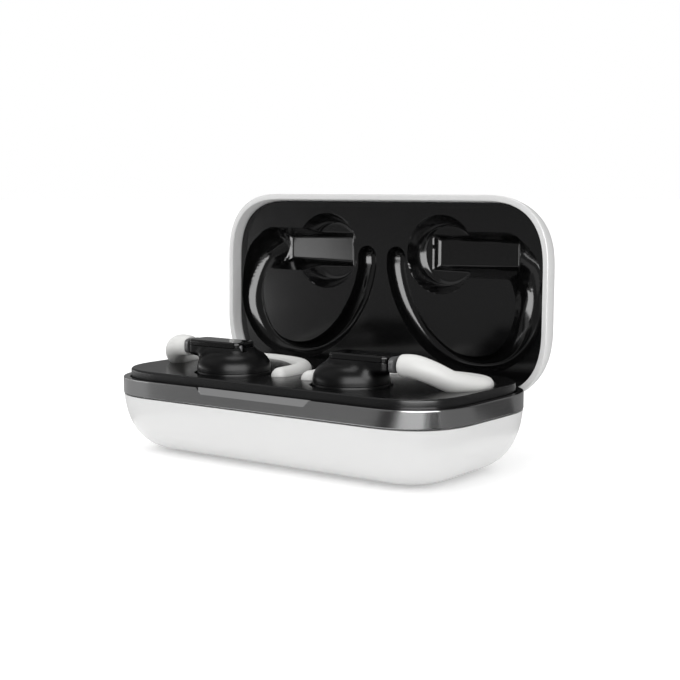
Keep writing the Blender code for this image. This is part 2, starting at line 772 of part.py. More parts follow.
def stem_pocket(widen, low, high):
    """The tray's drafted pocket for the stem, wide at the face and narrow at its floor."""
    rings = []
    depth = TRAY_STEM_FLOOR - TRAY_FACE
    for z in (low, high):
        draft = TRAY_DRAFT * (z - TRAY_FACE) / depth - widen
        x0, x1 = TRAY_STEM_INNER + draft, TRAY_STEM_OUTER - draft / 2
        y0, y1 = TRAY_STEM_FRONT + draft, TRAY_STEM_BACK - draft
        cut = 1.4
        rings.append(
            [
                (x0 + cut, y0, z),
                (x1 - cut, y0, z),
                (x1, y0 + cut, z),
                (x1, y1 - cut, z),
                (x1 - cut, y1, z),
                (x0 + cut, y1, z),
                (x0, y1 - cut, z),
                (x0, y0 + cut, z),
            ]
        )
    return loft(rings)


def stake(low):
    """A pin of the tray's back, its head melted down over the hinge arm's flange."""
    profile = (
        (STAKE_RADIUS, low - TRAY_PLATE / 2),
        (STAKE_RADIUS, ARM_TOP + GAP),
        (STAKE_HEAD, ARM_TOP + GAP),
        (STAKE_HEAD, ARM_TOP + GAP + 0.4),
        (STAKE_HEAD - 0.6, ARM_TOP + GAP + 0.8),
    )
    return turned(profile, STAKE_X, STAKE_Y, SMALL_SIDES)


def build_lid_tray(hinge):
    """Gloss black tray whose pockets close over the bells, stems and hooks."""
    inset = LID_WALL + TRAY_DRAW_IN + GAP
    back = TRAY_FACE + TRAY_PLATE
    plate = [plan_ring(inset, TRAY_FACE), plan_ring(inset + TRAY_DRAW_IN, back)]
    tray = solid("lid_tray", loft(plate), plastic("gloss_black", BLACK, 0.08), hinge)
    inside = TRAY_FACE + TRAY_PLATE / 2
    for side in (1, -1):
        walls = [
            disc(TRAY_BELL_RADIUS + TRAY_WALL, BELL_X, BELL_Y, inside, TRAY_BELL_FLOOR + TRAY_WALL),
            stem_pocket(TRAY_WALL, inside, TRAY_STEM_FLOOR + TRAY_WALL),
            tray_channel(TRAY_WALL * 0.7, TRAY_WALL, inside, 1, 4),
            stake(back),
        ]
        join(tray, [mirrored(shape, side) for shape in walls])
    envelope = [plan_ring(inset - 0.02, TRAY_FACE - 1.0), plan_ring(inset + TRAY_DRAW_IN, back)]
    envelope += lid_rings(LID_WALL + GAP, TRAY_DEPTH * 2, LID_HEIGHT - LID_ROOF, 5)
    combine(tray, [loft(envelope)], "INTERSECT")
    for side in (1, -1):
        pockets = [
            disc(TRAY_BELL_RADIUS, BELL_X, BELL_Y, TRAY_FACE - 1.0, TRAY_BELL_FLOOR),
            stem_pocket(0.0, TRAY_FACE - 1.0, TRAY_STEM_FLOOR),
            tray_channel(0.0, 0.0, TRAY_FACE - 0.6, 2, 6),
        ]
        carve(tray, [mirrored(shape, side) for shape in pockets])
    half = LID_KNUCKLE_HALF + 2 * GAP
    carve(tray, [box((-half, ARM_FRONT - GAP, 0.0), (half, CASE_DEPTH, back + 2.0))])
    return smooth(tray)


def build_lid_hinge(hinge):
    """Steel arm: two knuckles on the pin, a web past the tray's edge and a flange on its stakes."""
    steel = plastic("steel", STEEL, 0.25, 1.0)
    underside = TRAY_FACE + TRAY_PLATE + GAP
    back = ARM_FRONT + ARM_THICKNESS
    arm = solid("lid_hinge_arm", box((-8.0, 13.0, underside), (8.0, back, ARM_TOP)), steel, hinge)
    half = LID_KNUCKLE_HALF
    shapes = [box((-half, ARM_FRONT, HINGE_Z + 1.9), (half, back, ARM_TOP - 0.2))]
    for side in (1, -1):
        ear = box((SPRING_HALF, ARM_FRONT, HINGE_Z), (half, back, HINGE_Z + 2.4))
        shapes.append(mirrored(ear, side))
        shapes.append(mirrored(rod(KNUCKLE_RADIUS, HINGE_Y, HINGE_Z, SPRING_HALF, half, 20), side))
    join(arm, shapes)
    holes = [rod(BORE_RADIUS, HINGE_Y, HINGE_Z, -half - 1.0, half + 1.0)]
    for side in (1, -1):
        holes.append(disc(STAKE_RADIUS + GAP, side * STAKE_X, STAKE_Y, underside - 1, ARM_TOP + 1, 12))
    smooth(carve(arm, holes))
    for side, name in ((1, "right"), (-1, "left")):
        magnet = disc(CLOSING_RADIUS, CLOSING_X, CLOSING_Y, underside, underside + MAGNET_HEIGHT, SMALL_SIDES)
        smooth(solid(f"lid_magnet_{name}", mirrored(magnet, side), steel, hinge))


# ---------------------------------------------------------------- earbuds


def build_bell(side, name, seat):
    """Soft black lower half shell: a cup with the nozzle on its floor and the contact recess."""
    wall, floor = BELL_WALL, BELL_FOOT + BELL_WALL
    cup = turned(
        (
            (BELL_RADIUS - 0.9, BELL_FOOT),
            (BELL_RADIUS - 0.25, BELL_FOOT + 0.3),
            (BELL_RADIUS, BELL_FOOT + 1.0),
            (BELL_RADIUS, BELL_SPLIT),
            (BELL_RADIUS - wall, BELL_SPLIT),
            (BELL_RADIUS - wall, floor),
        ),
        BELL_X,
        BELL_Y,
    )
    bell = solid(f"bell_shell_{name}", mirrored(cup, side), plastic("soft_black", RUBBER, 0.55), seat)
    nozzle = disc(NOZZLE_RADIUS, NOZZLE_X, NOZZLE_Y, BELL_FOOT - NOZZLE_LENGTH, floor - 0.5, 20)
    join(bell, [mirrored(nozzle, side)])
    bore = disc(NOZZLE_BORE, NOZZLE_X, NOZZLE_Y, BELL_FOOT - NOZZLE_LENGTH - 1.0, floor + 1.0, 16)
    reach = PIN_PITCH / 2 + PAD_RADIUS + GAP
    recess = box(
        (BELL_X - reach, CHARGE_Y - PAD_RADIUS - GAP, BELL_FOOT - 1.0),
        (BELL_X + reach, CHARGE_Y + PAD_RADIUS + GAP, BELL_FOOT + PAD_RECESS),
    )
    carve(bell, [mirrored(bore, side), mirrored(recess, side)])
    smooth(bell)


def build_outer_shell(side, name, seat):
    """Black upper half shell: a dome that runs into the stem, open below, recessed on top."""
    low = BELL_SPLIT + GAP
    dome = turned(
        (
            (BELL_RADIUS - BELL_WALL - 0.6, low),
            (BELL_RADIUS, low),
            (BELL_RADIUS - 0.15, 4.3),
            (BELL_RADIUS - 0.7, 5.4),
            (BELL_RADIUS - 1.8, 6.4),
            (BELL_RADIUS - 3.2, BELL_TOP),
        ),
        BELL_X,
        BELL_Y,
    )
    shell = solid(f"outer_shell_{name}", mirrored(dome, side), plastic("soft_black", RUBBER, 0.55), seat)
    middle = (STEM_BOTTOM + STEM_TOP) / 2
    half = (STEM_TOP - STEM_BOTTOM) / 2
    stem = soft_bar(STEM_INNER, STEM_OUTER, STEM_Y, middle, STEM_HALF_DEPTH, half, 1.2)
    join(shell, [mirrored(stem, side)])
    inside = turned(
        (
            (BELL_RADIUS - BELL_WALL, low - 1.0),
            (BELL_RADIUS - BELL_WALL, 4.2),
            (BELL_RADIUS - BELL_WALL - 1.0, 5.4),
            (BELL_RADIUS - BELL_WALL - 2.2, BELL_TOP - BELL_WALL),
        ),
        BELL_X,
        BELL_Y,
        24,
    )
    step = STEM_TOP - COVER_THICKNESS
    trimmed = box((STEM_INNER - 2, STEM_Y - 9, step), (STEM_OUTER + 2, STEM_Y + 9, STEM_TOP + 2))
    mic = box(
        (STEM_INNER - 1.0, MIC_Y - MIC_WIDTH / 2 - GAP, MIC_LOW - GAP),
        (STEM_INNER + 1.2, MIC_Y + MIC_WIDTH / 2 + GAP, step + 1.0),
    )
    carve(shell, [mirrored(shape, side) for shape in (inside, trimmed, mic)])
    smooth(shell)


def build_touch_cover(side, name, seat):
    """Gloss black touch panel: the top slice of the stem, seated on its step."""
    middle = (STEM_BOTTOM + STEM_TOP) / 2
    half = (STEM_TOP - STEM_BOTTOM) / 2
    whole = soft_bar(STEM_INNER, STEM_OUTER, STEM_Y, middle, STEM_HALF_DEPTH, half, 1.2)
    cover = solid(f"touch_cover_{name}", mirrored(whole, side), plastic("gloss_black", BLACK, 0.08), seat)
    step = STEM_TOP - COVER_THICKNESS + GAP
    below = box((STEM_INNER - 2, STEM_Y - 9, STEM_BOTTOM - 2), (STEM_OUTER + 2, STEM_Y + 9, step))
    mic = box(
        (STEM_INNER - 1.0, MIC_Y - MIC_WIDTH / 2 - GAP, STEM_BOTTOM),
        (STEM_INNER + 1.2, MIC_Y + MIC_WIDTH / 2 + GAP, MIC_HIGH + GAP),
    )
    carve(cover, [mirrored(below, side), mirrored(mic, side)])
    smooth(cover)


def build_bud_details(side, name, seat):
    """Collar, hook, microphone insert, tip, nozzle mesh and what the bell holds inside."""
    grey = plastic("grey_collar", GREY, 0.4)
    steel = plastic("steel", STEEL, 0.25, 1.0)
    middle = (STEM_BOTTOM + STEM_TOP) / 2
    start = STEM_OUTER + GAP
    collar = soft_bar(start, start + COLLAR_LENGTH, STEM_Y, middle, 2.0, 1.45, 0.2, 16, 2.6)
    smooth(solid(f"collar_{name}", mirrored(collar, side), grey, seat))
    white = plastic("white_hook", HOOK_WHITE, 0.5)
    smooth(solid(f"ear_hook_{name}", mirrored(hook_tube(), side), white, seat), 60.0)
    insert = box(
        (STEM_INNER + 0.1, MIC_Y - MIC_WIDTH / 2, MIC_LOW),
        (STEM_INNER + 0.9, MIC_Y + MIC_WIDTH / 2, MIC_HIGH),
    )
    solid(f"microphone_slot_{name}", mirrored(insert, side), grey, seat)
    root = BELL_FOOT - 1.2
    sleeve = NOZZLE_RADIUS + GAP
    tip = turned(
        (
            (sleeve, root),
            (sleeve, root - TIP_LENGTH + 2.2),
            (2.0, root - TIP_LENGTH + 1.6),
            (2.0, root - TIP_LENGTH),
            (2.9, root - TIP_LENGTH),
            (TIP_RADIUS - 0.8, root - TIP_LENGTH + 1.5),
            (TIP_RADIUS, root - 1.6),
            (TIP_RADIUS - 0.2, root - 0.6),
            (sleeve + 0.8, root - 0.6),
            (sleeve + 0.8, root),
        ),
        NOZZLE_X,
        NOZZLE_Y,
        24,
        closed=True,
    )
    smooth(solid(f"ear_tip_{name}", mirrored(tip, side), plastic("silicone", SILICONE, 0.5), seat))
    end = BELL_FOOT - NOZZLE_LENGTH + 0.3
    mesh = disc(NOZZLE_BORE - GAP, NOZZLE_X, NOZZLE_Y, end, end + 0.3, SMALL_SIDES)
    smooth(solid(f"nozzle_mesh_{name}", mirrored(mesh, side), steel, seat))
    pad_low = BELL_FOOT + PAD_RECESS - GAP - PAD_THICKNESS
    for number, pitch in ((1, -0.5), (2, 0.5)):
        pad = disc(PAD_RADIUS, BELL_X + pitch * PIN_PITCH, CHARGE_Y, pad_low, pad_low + PAD_THICKNESS, 12)
        gold = plastic("gold", GOLD, 0.2, 1.0)
        smooth(solid(f"charge_pad_{name}_{number}", mirrored(pad, side), gold, seat))
    floor = BELL_FOOT + BELL_WALL + GAP
    driver = turned(
        ((DRIVER_RADIUS, floor), (DRIVER_RADIUS, floor + 1.3), (DRIVER_RADIUS - 1.2, floor + 2.0)),
        BELL_X,
        BELL_Y,
        20,
    )
    smooth(solid(f"speaker_driver_{name}", mirrored(driver, side), steel, seat))
    magnet = disc(HOLD_RADIUS, BELL_X + HOLD_REACH, BELL_Y, floor, floor + MAGNET_HEIGHT, SMALL_SIDES)
    smooth(solid(f"bud_magnet_{name}", mirrored(magnet, side), steel, seat))
    board = floor + 2.0 + GAP
    disc_board = disc(BELL_RADIUS - BELL_WALL - GAP, BELL_X, BELL_Y, board, board + 0.6, 20)
    green = plastic("circuit_board", COPPER_GREEN, 0.45)
    smooth(solid(f"bud_board_{name}", mirrored(disc_board, side), green, seat))
    cell = board + 0.6 + GAP
    coin = disc(CELL_RADIUS, BELL_X, BELL_Y, cell, BELL_TOP - BELL_WALL - GAP, 20)
    smooth(solid(f"bud_battery_{name}", mirrored(coin, side), plastic("foil", FOIL, 0.35, 0.6), seat))


clear_scene()
build_base_shell()
build_trim_band()
build_deck()
build_base_electronics()
build_base_hinge()
build_spring()
lid_axis = carrier("lid_axis", (0.0, HINGE_Y, HINGE_Z), -OPEN_ANGLE)
build_lid_shell(lid_axis)
build_lid_tray(lid_axis)
build_lid_hinge(lid_axis)
for bud_side, bud_name in ((1, "right"), (-1, "left")):
    build_charging(bud_side, bud_name)
    bud_seat = carrier(f"bud_seat_{bud_name}", (bud_side * BELL_X, BELL_Y, BELL_FOOT))
    build_bell(bud_side, bud_name, bud_seat)
    build_outer_shell(bud_side, bud_name, bud_seat)
    build_touch_cover(bud_side, bud_name, bud_seat)
    build_bud_details(bud_side, bud_name, bud_seat)
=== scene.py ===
import math

import bpy
import numpy as np
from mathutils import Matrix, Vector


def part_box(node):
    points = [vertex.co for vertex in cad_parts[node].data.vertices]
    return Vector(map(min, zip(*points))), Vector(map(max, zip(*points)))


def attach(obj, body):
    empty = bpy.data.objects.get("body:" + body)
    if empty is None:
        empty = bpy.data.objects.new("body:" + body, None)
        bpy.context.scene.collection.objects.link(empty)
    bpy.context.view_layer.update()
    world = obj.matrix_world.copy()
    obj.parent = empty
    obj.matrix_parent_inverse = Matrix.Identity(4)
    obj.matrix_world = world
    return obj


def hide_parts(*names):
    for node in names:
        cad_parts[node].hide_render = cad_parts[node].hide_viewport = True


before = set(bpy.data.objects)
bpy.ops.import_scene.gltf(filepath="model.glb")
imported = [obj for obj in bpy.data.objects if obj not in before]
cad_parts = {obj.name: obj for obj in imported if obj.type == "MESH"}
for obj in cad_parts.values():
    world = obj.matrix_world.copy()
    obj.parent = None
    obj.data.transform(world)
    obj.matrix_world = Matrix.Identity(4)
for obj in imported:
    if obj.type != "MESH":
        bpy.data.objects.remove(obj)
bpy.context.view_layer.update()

MM = 0.001


# ------------------------------------------------------------------ lower shell
# The white tub of the case: injection-moulded polycarbonate with a satin, lightly sparked skin.
# Its underside draws in to a flat foot, its back edge is rolled for the lid, and a slot in the
# back wall lets the charging plug in.

band_low, band_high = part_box("trim_band")
shell_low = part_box("base_shell")[0]
HALF_WIDTH = band_high.x / MM
HALF_DEPTH = -band_low.y / MM
SEAM = band_high.z / MM
CORNER = 18.2
CORNER_POWER = 2.63
ROOT_X = HALF_WIDTH - CORNER
ROOT_Y = HALF_DEPTH - CORNER
BAND_HEIGHT = (band_high.z - band_low.z) / MM
BASE_ROUND, BASE_POWER = 14.0, 2.57
SHELL_WALL, SHELL_FLOOR = 1.8, 1.6
HINGE_Y = HALF_DEPTH - 2.56
HINGE_Z = -1.7
HINGE_ROLL = 1.7
WINDOW_HALF, WINDOW_FRONT = 13.6, 19.0
BEYOND = 49.0


def outlines(insets, heights, steps=40):
    """Rings of the case's plan. Straight sides join corners on which the distances from a fixed
    corner root, each raised to CORNER_POWER, add up to the corner size less the inset."""
    insets = np.atleast_1d(np.asarray(insets, float))[:, None]
    turn = np.linspace(0, math.pi / 2, steps + 1)
    size = CORNER - insets
    along = ROOT_X + size * np.cos(turn) ** (2 / CORNER_POWER)
    across = ROOT_Y + size * np.sin(turn) ** (2 / CORNER_POWER)
    x = np.hstack((along, -along[:, ::-1], -along, along[:, ::-1]))
    y = np.hstack((across, across[:, ::-1], -across, -across[:, ::-1]))
    z = np.broadcast_to(np.atleast_1d(np.asarray(heights, float))[:, None], x.shape)
    return np.stack((x, y, z), -1)


def drawn_in(depth, height, draw, power):
    """How far a dished wall has moved inwards: draw times one minus the power-th root of
    one minus the depth's share of the height raised to power."""
    share = np.clip(depth / height, 0, 1)
    return draw * (1 - (1 - share**power) ** (1 / power))


def wall_depths(start, height, power, count):
    """Depths down a dished wall, close together where it turns over into the flat."""
    first = math.asin((start / height) ** (power / 2))
    return height * np.sin(np.linspace(first, math.pi / 2, count)) ** (2 / power)


def rounded_edge(radius, steps=5):
    """A quarter turn as (how far in, how far down) pairs, from the side to the flat."""
    turn = np.linspace(0, math.pi / 2, steps)
    return radius * (1 - np.cos(turn)), radius * (1 - np.sin(turn))


def skin(rings, closed=False):
    """Quads between neighbouring rings, every ring closed on itself, with the first and last
    ring filled, or the last joined to the first."""
    rows, count = rings.shape[:2]
    index = np.arange(rows * count).reshape(rows, count)
    if closed:
        index = np.vstack((index, index[:1]))
    here, there = index[:-1], index[1:]
    quads = np.stack((here, np.roll(here, -1, 1), np.roll(there, -1, 1), there), -1)
    faces = quads.reshape(-1, 4).tolist()
    if not closed:
        faces.append(index[0][::-1].tolist())
        faces.append(index[-1].tolist())
    return rings.reshape(-1, 3), faces


def body(name, shape, smooth_below=30.0):
    """A mesh object from points in millimetres whose heights count from the seam, faces outwards."""
    points, faces = shape
    mesh = bpy.data.meshes.new(name)
    mesh.from_pydata(((points + (0.0, 0.0, SEAM)) * MM).tolist(), [], faces)
    mesh.update()
    mesh.calc_loop_triangles()
    corners = np.empty(len(mesh.loop_triangles) * 3, np.int32)
    mesh.loop_triangles.foreach_get("vertices", corners)
    places = np.empty(len(mesh.vertices) * 3, np.float32)
    mesh.vertices.foreach_get("co", places)
    a, b, c = places.reshape(-1, 3)[corners.reshape(-1, 3)].transpose(1, 0, 2)
    if np.einsum("ij,ij->i", a, np.cross(b, c)).sum() < 0:
        mesh.flip_normals()
    made = bpy.data.objects.new(name, mesh)
    bpy.context.scene.collection.objects.link(made)
    mesh.shade_smooth()
    mesh.set_sharp_from_angle(angle=math.radians(smooth_below))
    return made


def cut(piece, shapes, smooth_below=30.0, operation="DIFFERENCE", solver="EXACT"):
    """The piece with the shapes taken out of it, or added to it."""
    for shape in shapes:
        tool = body("tool", shape)
        modifier = piece.modifiers.new("cut", "BOOLEAN")
        modifier.object = tool
        modifier.operation = operation
        modifier.solver = solver
        bpy.context.view_layer.update()
        result = bpy.data.meshes.new_from_object(
            piece.evaluated_get(bpy.context.evaluated_depsgraph_get())
        )
        piece.modifiers.clear()
        piece.data = result
        bpy.data.objects.remove(tool, do_unlink=True)
    piece.data.materials.clear()
    piece.data.shade_smooth()
    piece.data.set_sharp_from_angle(angle=math.radians(smooth_below))
    return piece


def brick(low, high):
    """A box between two opposite corners."""
    x = np.array((low[0], high[0], high[0], low[0]))
    y = np.array((low[1], low[1], high[1], high[1]))
    return skin(np.stack([np.stack((x, y, np.full(4, z)), -1) for z in (low[2], high[2])]))


def round_bar(radius, x, y, low, high, sides=40):
    """An upright bar: one circle at its low end and one at its high end."""
    turn = np.linspace(0, 2 * math.pi, sides, endpoint=False)
    ring = np.stack((x + radius * np.cos(turn), y + radius * np.sin(turn)), -1)
    return skin(np.stack([np.column_stack((ring, np.full(sides, z))) for z in (low, high)]))


def rolled_back_edge():
    """The room above the rolled back edge: outside a round of HINGE_ROLL about the hinge pin."""
    turn = np.radians(np.linspace(0, 78, 24))
    start = HINGE_Y + HINGE_ROLL * math.cos(turn[-1])
    y = np.concatenate((HINGE_Y + HINGE_ROLL * np.cos(turn), [start, 60, 60, HINGE_Y + HINGE_ROLL]))
    z = np.concatenate((HINGE_Z + HINGE_ROLL * np.sin(turn), [3.0, 3.0, HINGE_Z - 3.05, HINGE_Z - 3.05]))
    return skin(np.stack([np.column_stack((np.full(len(y), x), y, z)) for x in (-98.0, 98.0)]))


class Value:
    """A number that varies over a surface. Arithmetic on it adds Math nodes."""

    def __init__(self, finish, socket):
        self.finish = finish
        self.socket = socket

    def joined(self, operation, first, second):
        """A Math node on two numbers, either of which may vary."""
        return self.finish.add("Math", {"operation": operation}, {"Value": first, "Value_001": second})

    def __add__(self, other):
        return self.joined("ADD", self, other)

    def __radd__(self, other):
        return self.joined("ADD", other, self)

    def __sub__(self, other):
        return self.joined("SUBTRACT", self, other)

    def __rsub__(self, other):
        return self.joined("SUBTRACT", other, self)

    def __mul__(self, other):
        return self.joined("MULTIPLY", self, other)

    def __rmul__(self, other):
        return self.joined("MULTIPLY", other, self)

    def __lt__(self, other):
        return self.joined("LESS_THAN", self, other)


class Finish:
    """A surface finish: one shader with fixed numbers of its own, fed by what varies on it."""

    def __init__(self, name, **fixed):
        self.material = bpy.data.materials.new(name)
        self.material.use_nodes = True
        self.tree = self.material.node_tree
        self.shader = self.tree.nodes["Principled BSDF"]
        for socket, value in fixed.items():
            self.shader.inputs[socket.replace("_", " ")].default_value = value
        self.place = self.add("TexCoord", {}, {}, "Object")

    def add(self, kind, settings, values, output=None):
        """One node: its type, its settings, then the values or links of its sockets."""
        node = self.tree.nodes.new("ShaderNode" + kind)
        for name, value in settings.items():
            setattr(node, name, value)
        for name, value in values.items():
            socket = next(s for s in node.inputs if name in (s.identifier, s.name) and s.enabled)
            if isinstance(value, Value):
                self.tree.links.new(value.socket, socket)
            elif isinstance(value, tuple) and len(value) == 3 and socket.type == "RGBA":
                socket.default_value = (*value, 1.0)
            else:
                socket.default_value = value
        enabled = [s for s in node.outputs if s.enabled]
        chosen = enabled[0] if output is None else next(s for s in enabled if s.name == output)
        return Value(self, chosen)

    def in_millimetres(self, per_mm=1.0, stretch=(1.0, 1.0, 1.0)):
        """The place on the piece, counted in patterns of which per_mm fit in a millimetre."""
        spread = tuple(per_mm * share / MM for share in stretch)
        return self.add("Mapping", {}, {"Vector": self.place, "Scale": spread})

    def cloud(self, per_mm, detail=2.0, rough=0.5, stretch=(1.0, 1.0, 1.0)):
        """Soft noise with about per_mm blotches in a millimetre, from 0 to 1."""
        values = {"Vector": self.in_millimetres(per_mm, stretch), "Scale": 1.0}
        values.update(Detail=detail, Roughness=rough)
        return self.add("TexNoise", {"noise_dimensions": "3D"}, values, "Fac")

    def blend(self, share, first, second):
        """A colour between two, by share."""
        values = {"Factor_Float": share, "A_Color": first, "B_Color": second}
        return self.add("Mix", {"data_type": "RGBA"}, values, "Result")

    def relief(self, height, depth_mm, strength=1.0):
        """A surface normal that follows a height from 0 to 1, depth_mm deep."""
        values = {"Height": height, "Distance": depth_mm * MM, "Strength": strength}
        return self.add("Bump", {}, values, "Normal")

    def feed(self, **sockets):
        """The shader's sockets take what varies over the surface."""
        for socket, value in sockets.items():
            self.tree.links.new(value.socket, self.shader.inputs[socket.replace("_", " ")])
        return self


def moulded(name, deep, pale, rough, swing, grain_mm, grain_depth, **fixed):
    """Moulded plastic: slow drift of colour and polish, and the fine grain of the mould."""
    finish = Finish(name, **fixed)
    drift = finish.cloud(0.06, 3.0)
    grain = finish.cloud(1.0 / grain_mm, 2.0, 0.6)
    handling = finish.cloud(0.25, 4.0, 0.6)
    finish.feed(
        Base_Color=finish.blend(drift * 0.7 + grain * 0.3, deep, pale),
        Roughness=rough + (handling - 0.5) * swing + (grain - 0.5) * (swing * 0.5),
        Normal=finish.relief(grain * 0.8 + handling * 0.2, grain_depth, 0.6),
    )
    return finish


def fit(piece, finish, body_name, slot, *nodes):
    """The piece takes its finish, rides on its body and stands for its CAD nodes."""
    piece.data.materials.append(finish.material)
    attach(piece, body_name)
    if nodes:
        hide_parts(*nodes)


white_plastic = moulded(
    "satin_white",
    (0.640, 0.640, 0.637),
    (0.675, 0.675, 0.672),
    rough=0.32,
    swing=0.06,
    grain_mm=0.22,
    grain_depth=0.004,
    Coat_Weight=0.25,
    Coat_Roughness=0.18,
)

base_height = -(shell_low.z / MM - SEAM)
top = BAND_HEIGHT + 0.3
outer_depths = wall_depths(top + 0.15, base_height, BASE_POWER, 64)
inner_depths = wall_depths(top + 2.0, base_height - SHELL_FLOOR, BASE_POWER, 26)
lip = 1.75
insets = np.concatenate(
    (
        drawn_in(outer_depths, base_height, BASE_ROUND, BASE_POWER)[::-1],
        [0.10, 0.25, lip, lip, lip + 1.45, lip + 1.45],
        SHELL_WALL + drawn_in(inner_depths, base_height - SHELL_FLOOR, BASE_ROUND, BASE_POWER),
    )
)
lip_heights = [-top - 0.04, -top, -top, -3.1, -3.1, -top - 0.8]
heights = np.concatenate((-outer_depths[::-1], lip_heights, -inner_depths))
tub = body("lower_shell", skin(outlines(insets, heights)))
port_half, port_round, port_low, port_high = 4.75, 1.75, -14.2, -10.4
turn = np.linspace(0, 2 * math.pi, 48, endpoint=False)
mouth_x = (port_half - port_round) * np.sign(np.cos(turn)) + port_round * np.cos(turn)
mouth_z = port_round * np.sin(turn) + ((port_high - port_low) / 2 - port_round) * np.sign(np.sin(turn))
mouth_z += (port_low + port_high) / 2
plug_slot = skin(np.stack([np.column_stack((mouth_x, np.full(48, y), mouth_z)) for y in (16.0, BEYOND)]))
cut(
    tub,
    [
        rolled_back_edge(),
        brick((-WINDOW_HALF, WINDOW_FRONT, -top), (WINDOW_HALF, BEYOND, 3.0)),
        brick((-WINDOW_HALF, WINDOW_FRONT, -7.3), (WINDOW_HALF, HALF_DEPTH - 2.3, 0.0)),
        plug_slot,
    ],
)
fit(tub, white_plastic, "base", "white_shell", "base_shell")


# ------------------------------------------------------------------ trim band
# A ring of black-chrome plated plastic snapped round the top of the tub, with broken edges.
# Its front edge is cut away at a slant so that a thumbnail can catch the lid.

NOTCH_HALF, NOTCH_HEIGHT, NOTCH_DEPTH = 16.7, 1.5, 0.9

edge_in, edge_down = rounded_edge(0.14)
low_in, low_down = rounded_edge(0.15, 4)
inside_insets = [0.32, 1.20, 1.30, 1.45, 1.45, 1.30, 1.0, 0.3]
band_insets = np.concatenate((low_in[::-1], [0.0] * 4, edge_in, inside_insets))
band_heights = np.concatenate(
    (
        -BAND_HEIGHT + low_down[::-1],
        [-BAND_HEIGHT + 0.24, -BAND_HEIGHT + 0.4, -0.5, -0.32],
        -edge_down,
        [0.0, 0.0, 0.0, -0.15, -BAND_HEIGHT + 0.15, -BAND_HEIGHT, -BAND_HEIGHT, -BAND_HEIGHT],
    )
)
band = body("trim_ring", skin(outlines(band_insets, band_heights, 56), closed=True), 25.0)
slants = []
for share in (-0.3, 1.3):
    half = NOTCH_HALF - NOTCH_HEIGHT * (1 - share)
    y, z = -HALF_DEPTH + NOTCH_DEPTH * share, NOTCH_HEIGHT * (share - 1)
    slants.append([(-half, y, z), (half, y, z), (half, y - 4.0, z), (-half, y - 4.0, z)])
cut(
    band,
    [
        skin(np.array(slants)),
        rolled_back_edge(),
        brick((-WINDOW_HALF, WINDOW_FRONT, -5.0), (WINDOW_HALF, BEYOND, 3.0)),
    ],
    25.0,
)
plating = Finish("black_chrome", Metallic=1.0)
drift = plating.cloud(0.05, 2.0)
haze = plating.cloud(0.8, 4.0, 0.6)
brushed = plating.cloud(0.5, 2.0, 0.5, (0.15, 0.15, 9.0))
plating.feed(
    Base_Color=plating.blend(drift, (0.33, 0.33, 0.332), (0.37, 0.37, 0.372)),
    Roughness=0.12 + haze * 0.05 + brushed * 0.04,
    Normal=plating.relief(brushed * 0.6 + haze * 0.4, 0.0008, 0.5),
)
fit(band, plating, "base", "gloss_black", "trim_band")


# ------------------------------------------------------------------ plinth
# The black plinth inside the band, moulded in one piece: round wells for the earbuds, deeper ones
# for their ear tips, grooves for the hooks and holes for the charging pins, all with soft brims.

DECK_RISE, DECK_LOW = 2.1, -2.8
BELL_X, BELL_Y, BELL_RADIUS = 17.64, -9.8, 8.9
NOZZLE_X, NOZZLE_Y = BELL_X - 1.4, BELL_Y + 1.6
CHARGE_Y = BELL_Y - 7.2
PIN_PITCH = 3.0
WELL_RADIUS, WELL_DEPTH = BELL_RADIUS + 0.7, DECK_RISE + 1.6
TIP_WELL, TIP_WELL_DEPTH = BELL_RADIUS - 3.2 + 0.3, DECK_RISE + 10.0
CUP_RADIUS, CUP_DEPTH = BELL_RADIUS - 2.0 + 0.6, 10.0 + 1.2 + DECK_LOW
# The hook's centre line from the collar round to its tip: x, y, z and radius
HOOK_ROUTE = (
    (31.4, -10.0, 7.5, 2.50),
    (34.9, -9.8, 7.4, 2.65),
    (38.2, -8.2, 6.2, 2.60),
    (41.2, -5.0, 4.1, 2.50),
    (42.9, -0.6, 2.9, 2.35),
    (43.2, 4.3, 2.2, 2.15),
    (41.4, 9.4, 1.8, 1.95),
    (37.6, 13.5, 1.6, 1.75),
    (32.6, 16.2, 1.5, 1.60),
    (27.0, 16.8, 1.5, 1.55),
    (21.0, 15.5, 1.5, 1.65),
    (15.2, 12.3, 1.6, 1.85),
    (10.4, 8.0, 1.7, 2.05),
    (7.0, 3.1, 1.8, 2.20),
    (4.9, -2.5, 1.8, 2.25),
    (4.5, -8.2, 1.8, 2.20),
)


def flowing(route, steps):
    """A curve through the route's rows: each span is a cubic whose slope at a row is half the
    difference of the rows on either side of it."""
    rows = np.asarray(route, float)
    padded = np.vstack((2 * rows[0] - rows[1], rows, 2 * rows[-1] - rows[-2]))
    share = np.linspace(0, 1, steps, endpoint=False)[None, :, None]
    before, here, there, after = (padded[k : len(padded) - 3 + k, None] for k in range(4))
    slope, bend = there - before, 2 * before - 5 * here + 4 * there - after
    twist = 3 * here - before - 3 * there + after
    spans = here + 0.5 * (slope * share + bend * share**2 + twist * share**3)
    return np.vstack((spans.reshape(-1, rows.shape[1]), rows[-1:]))


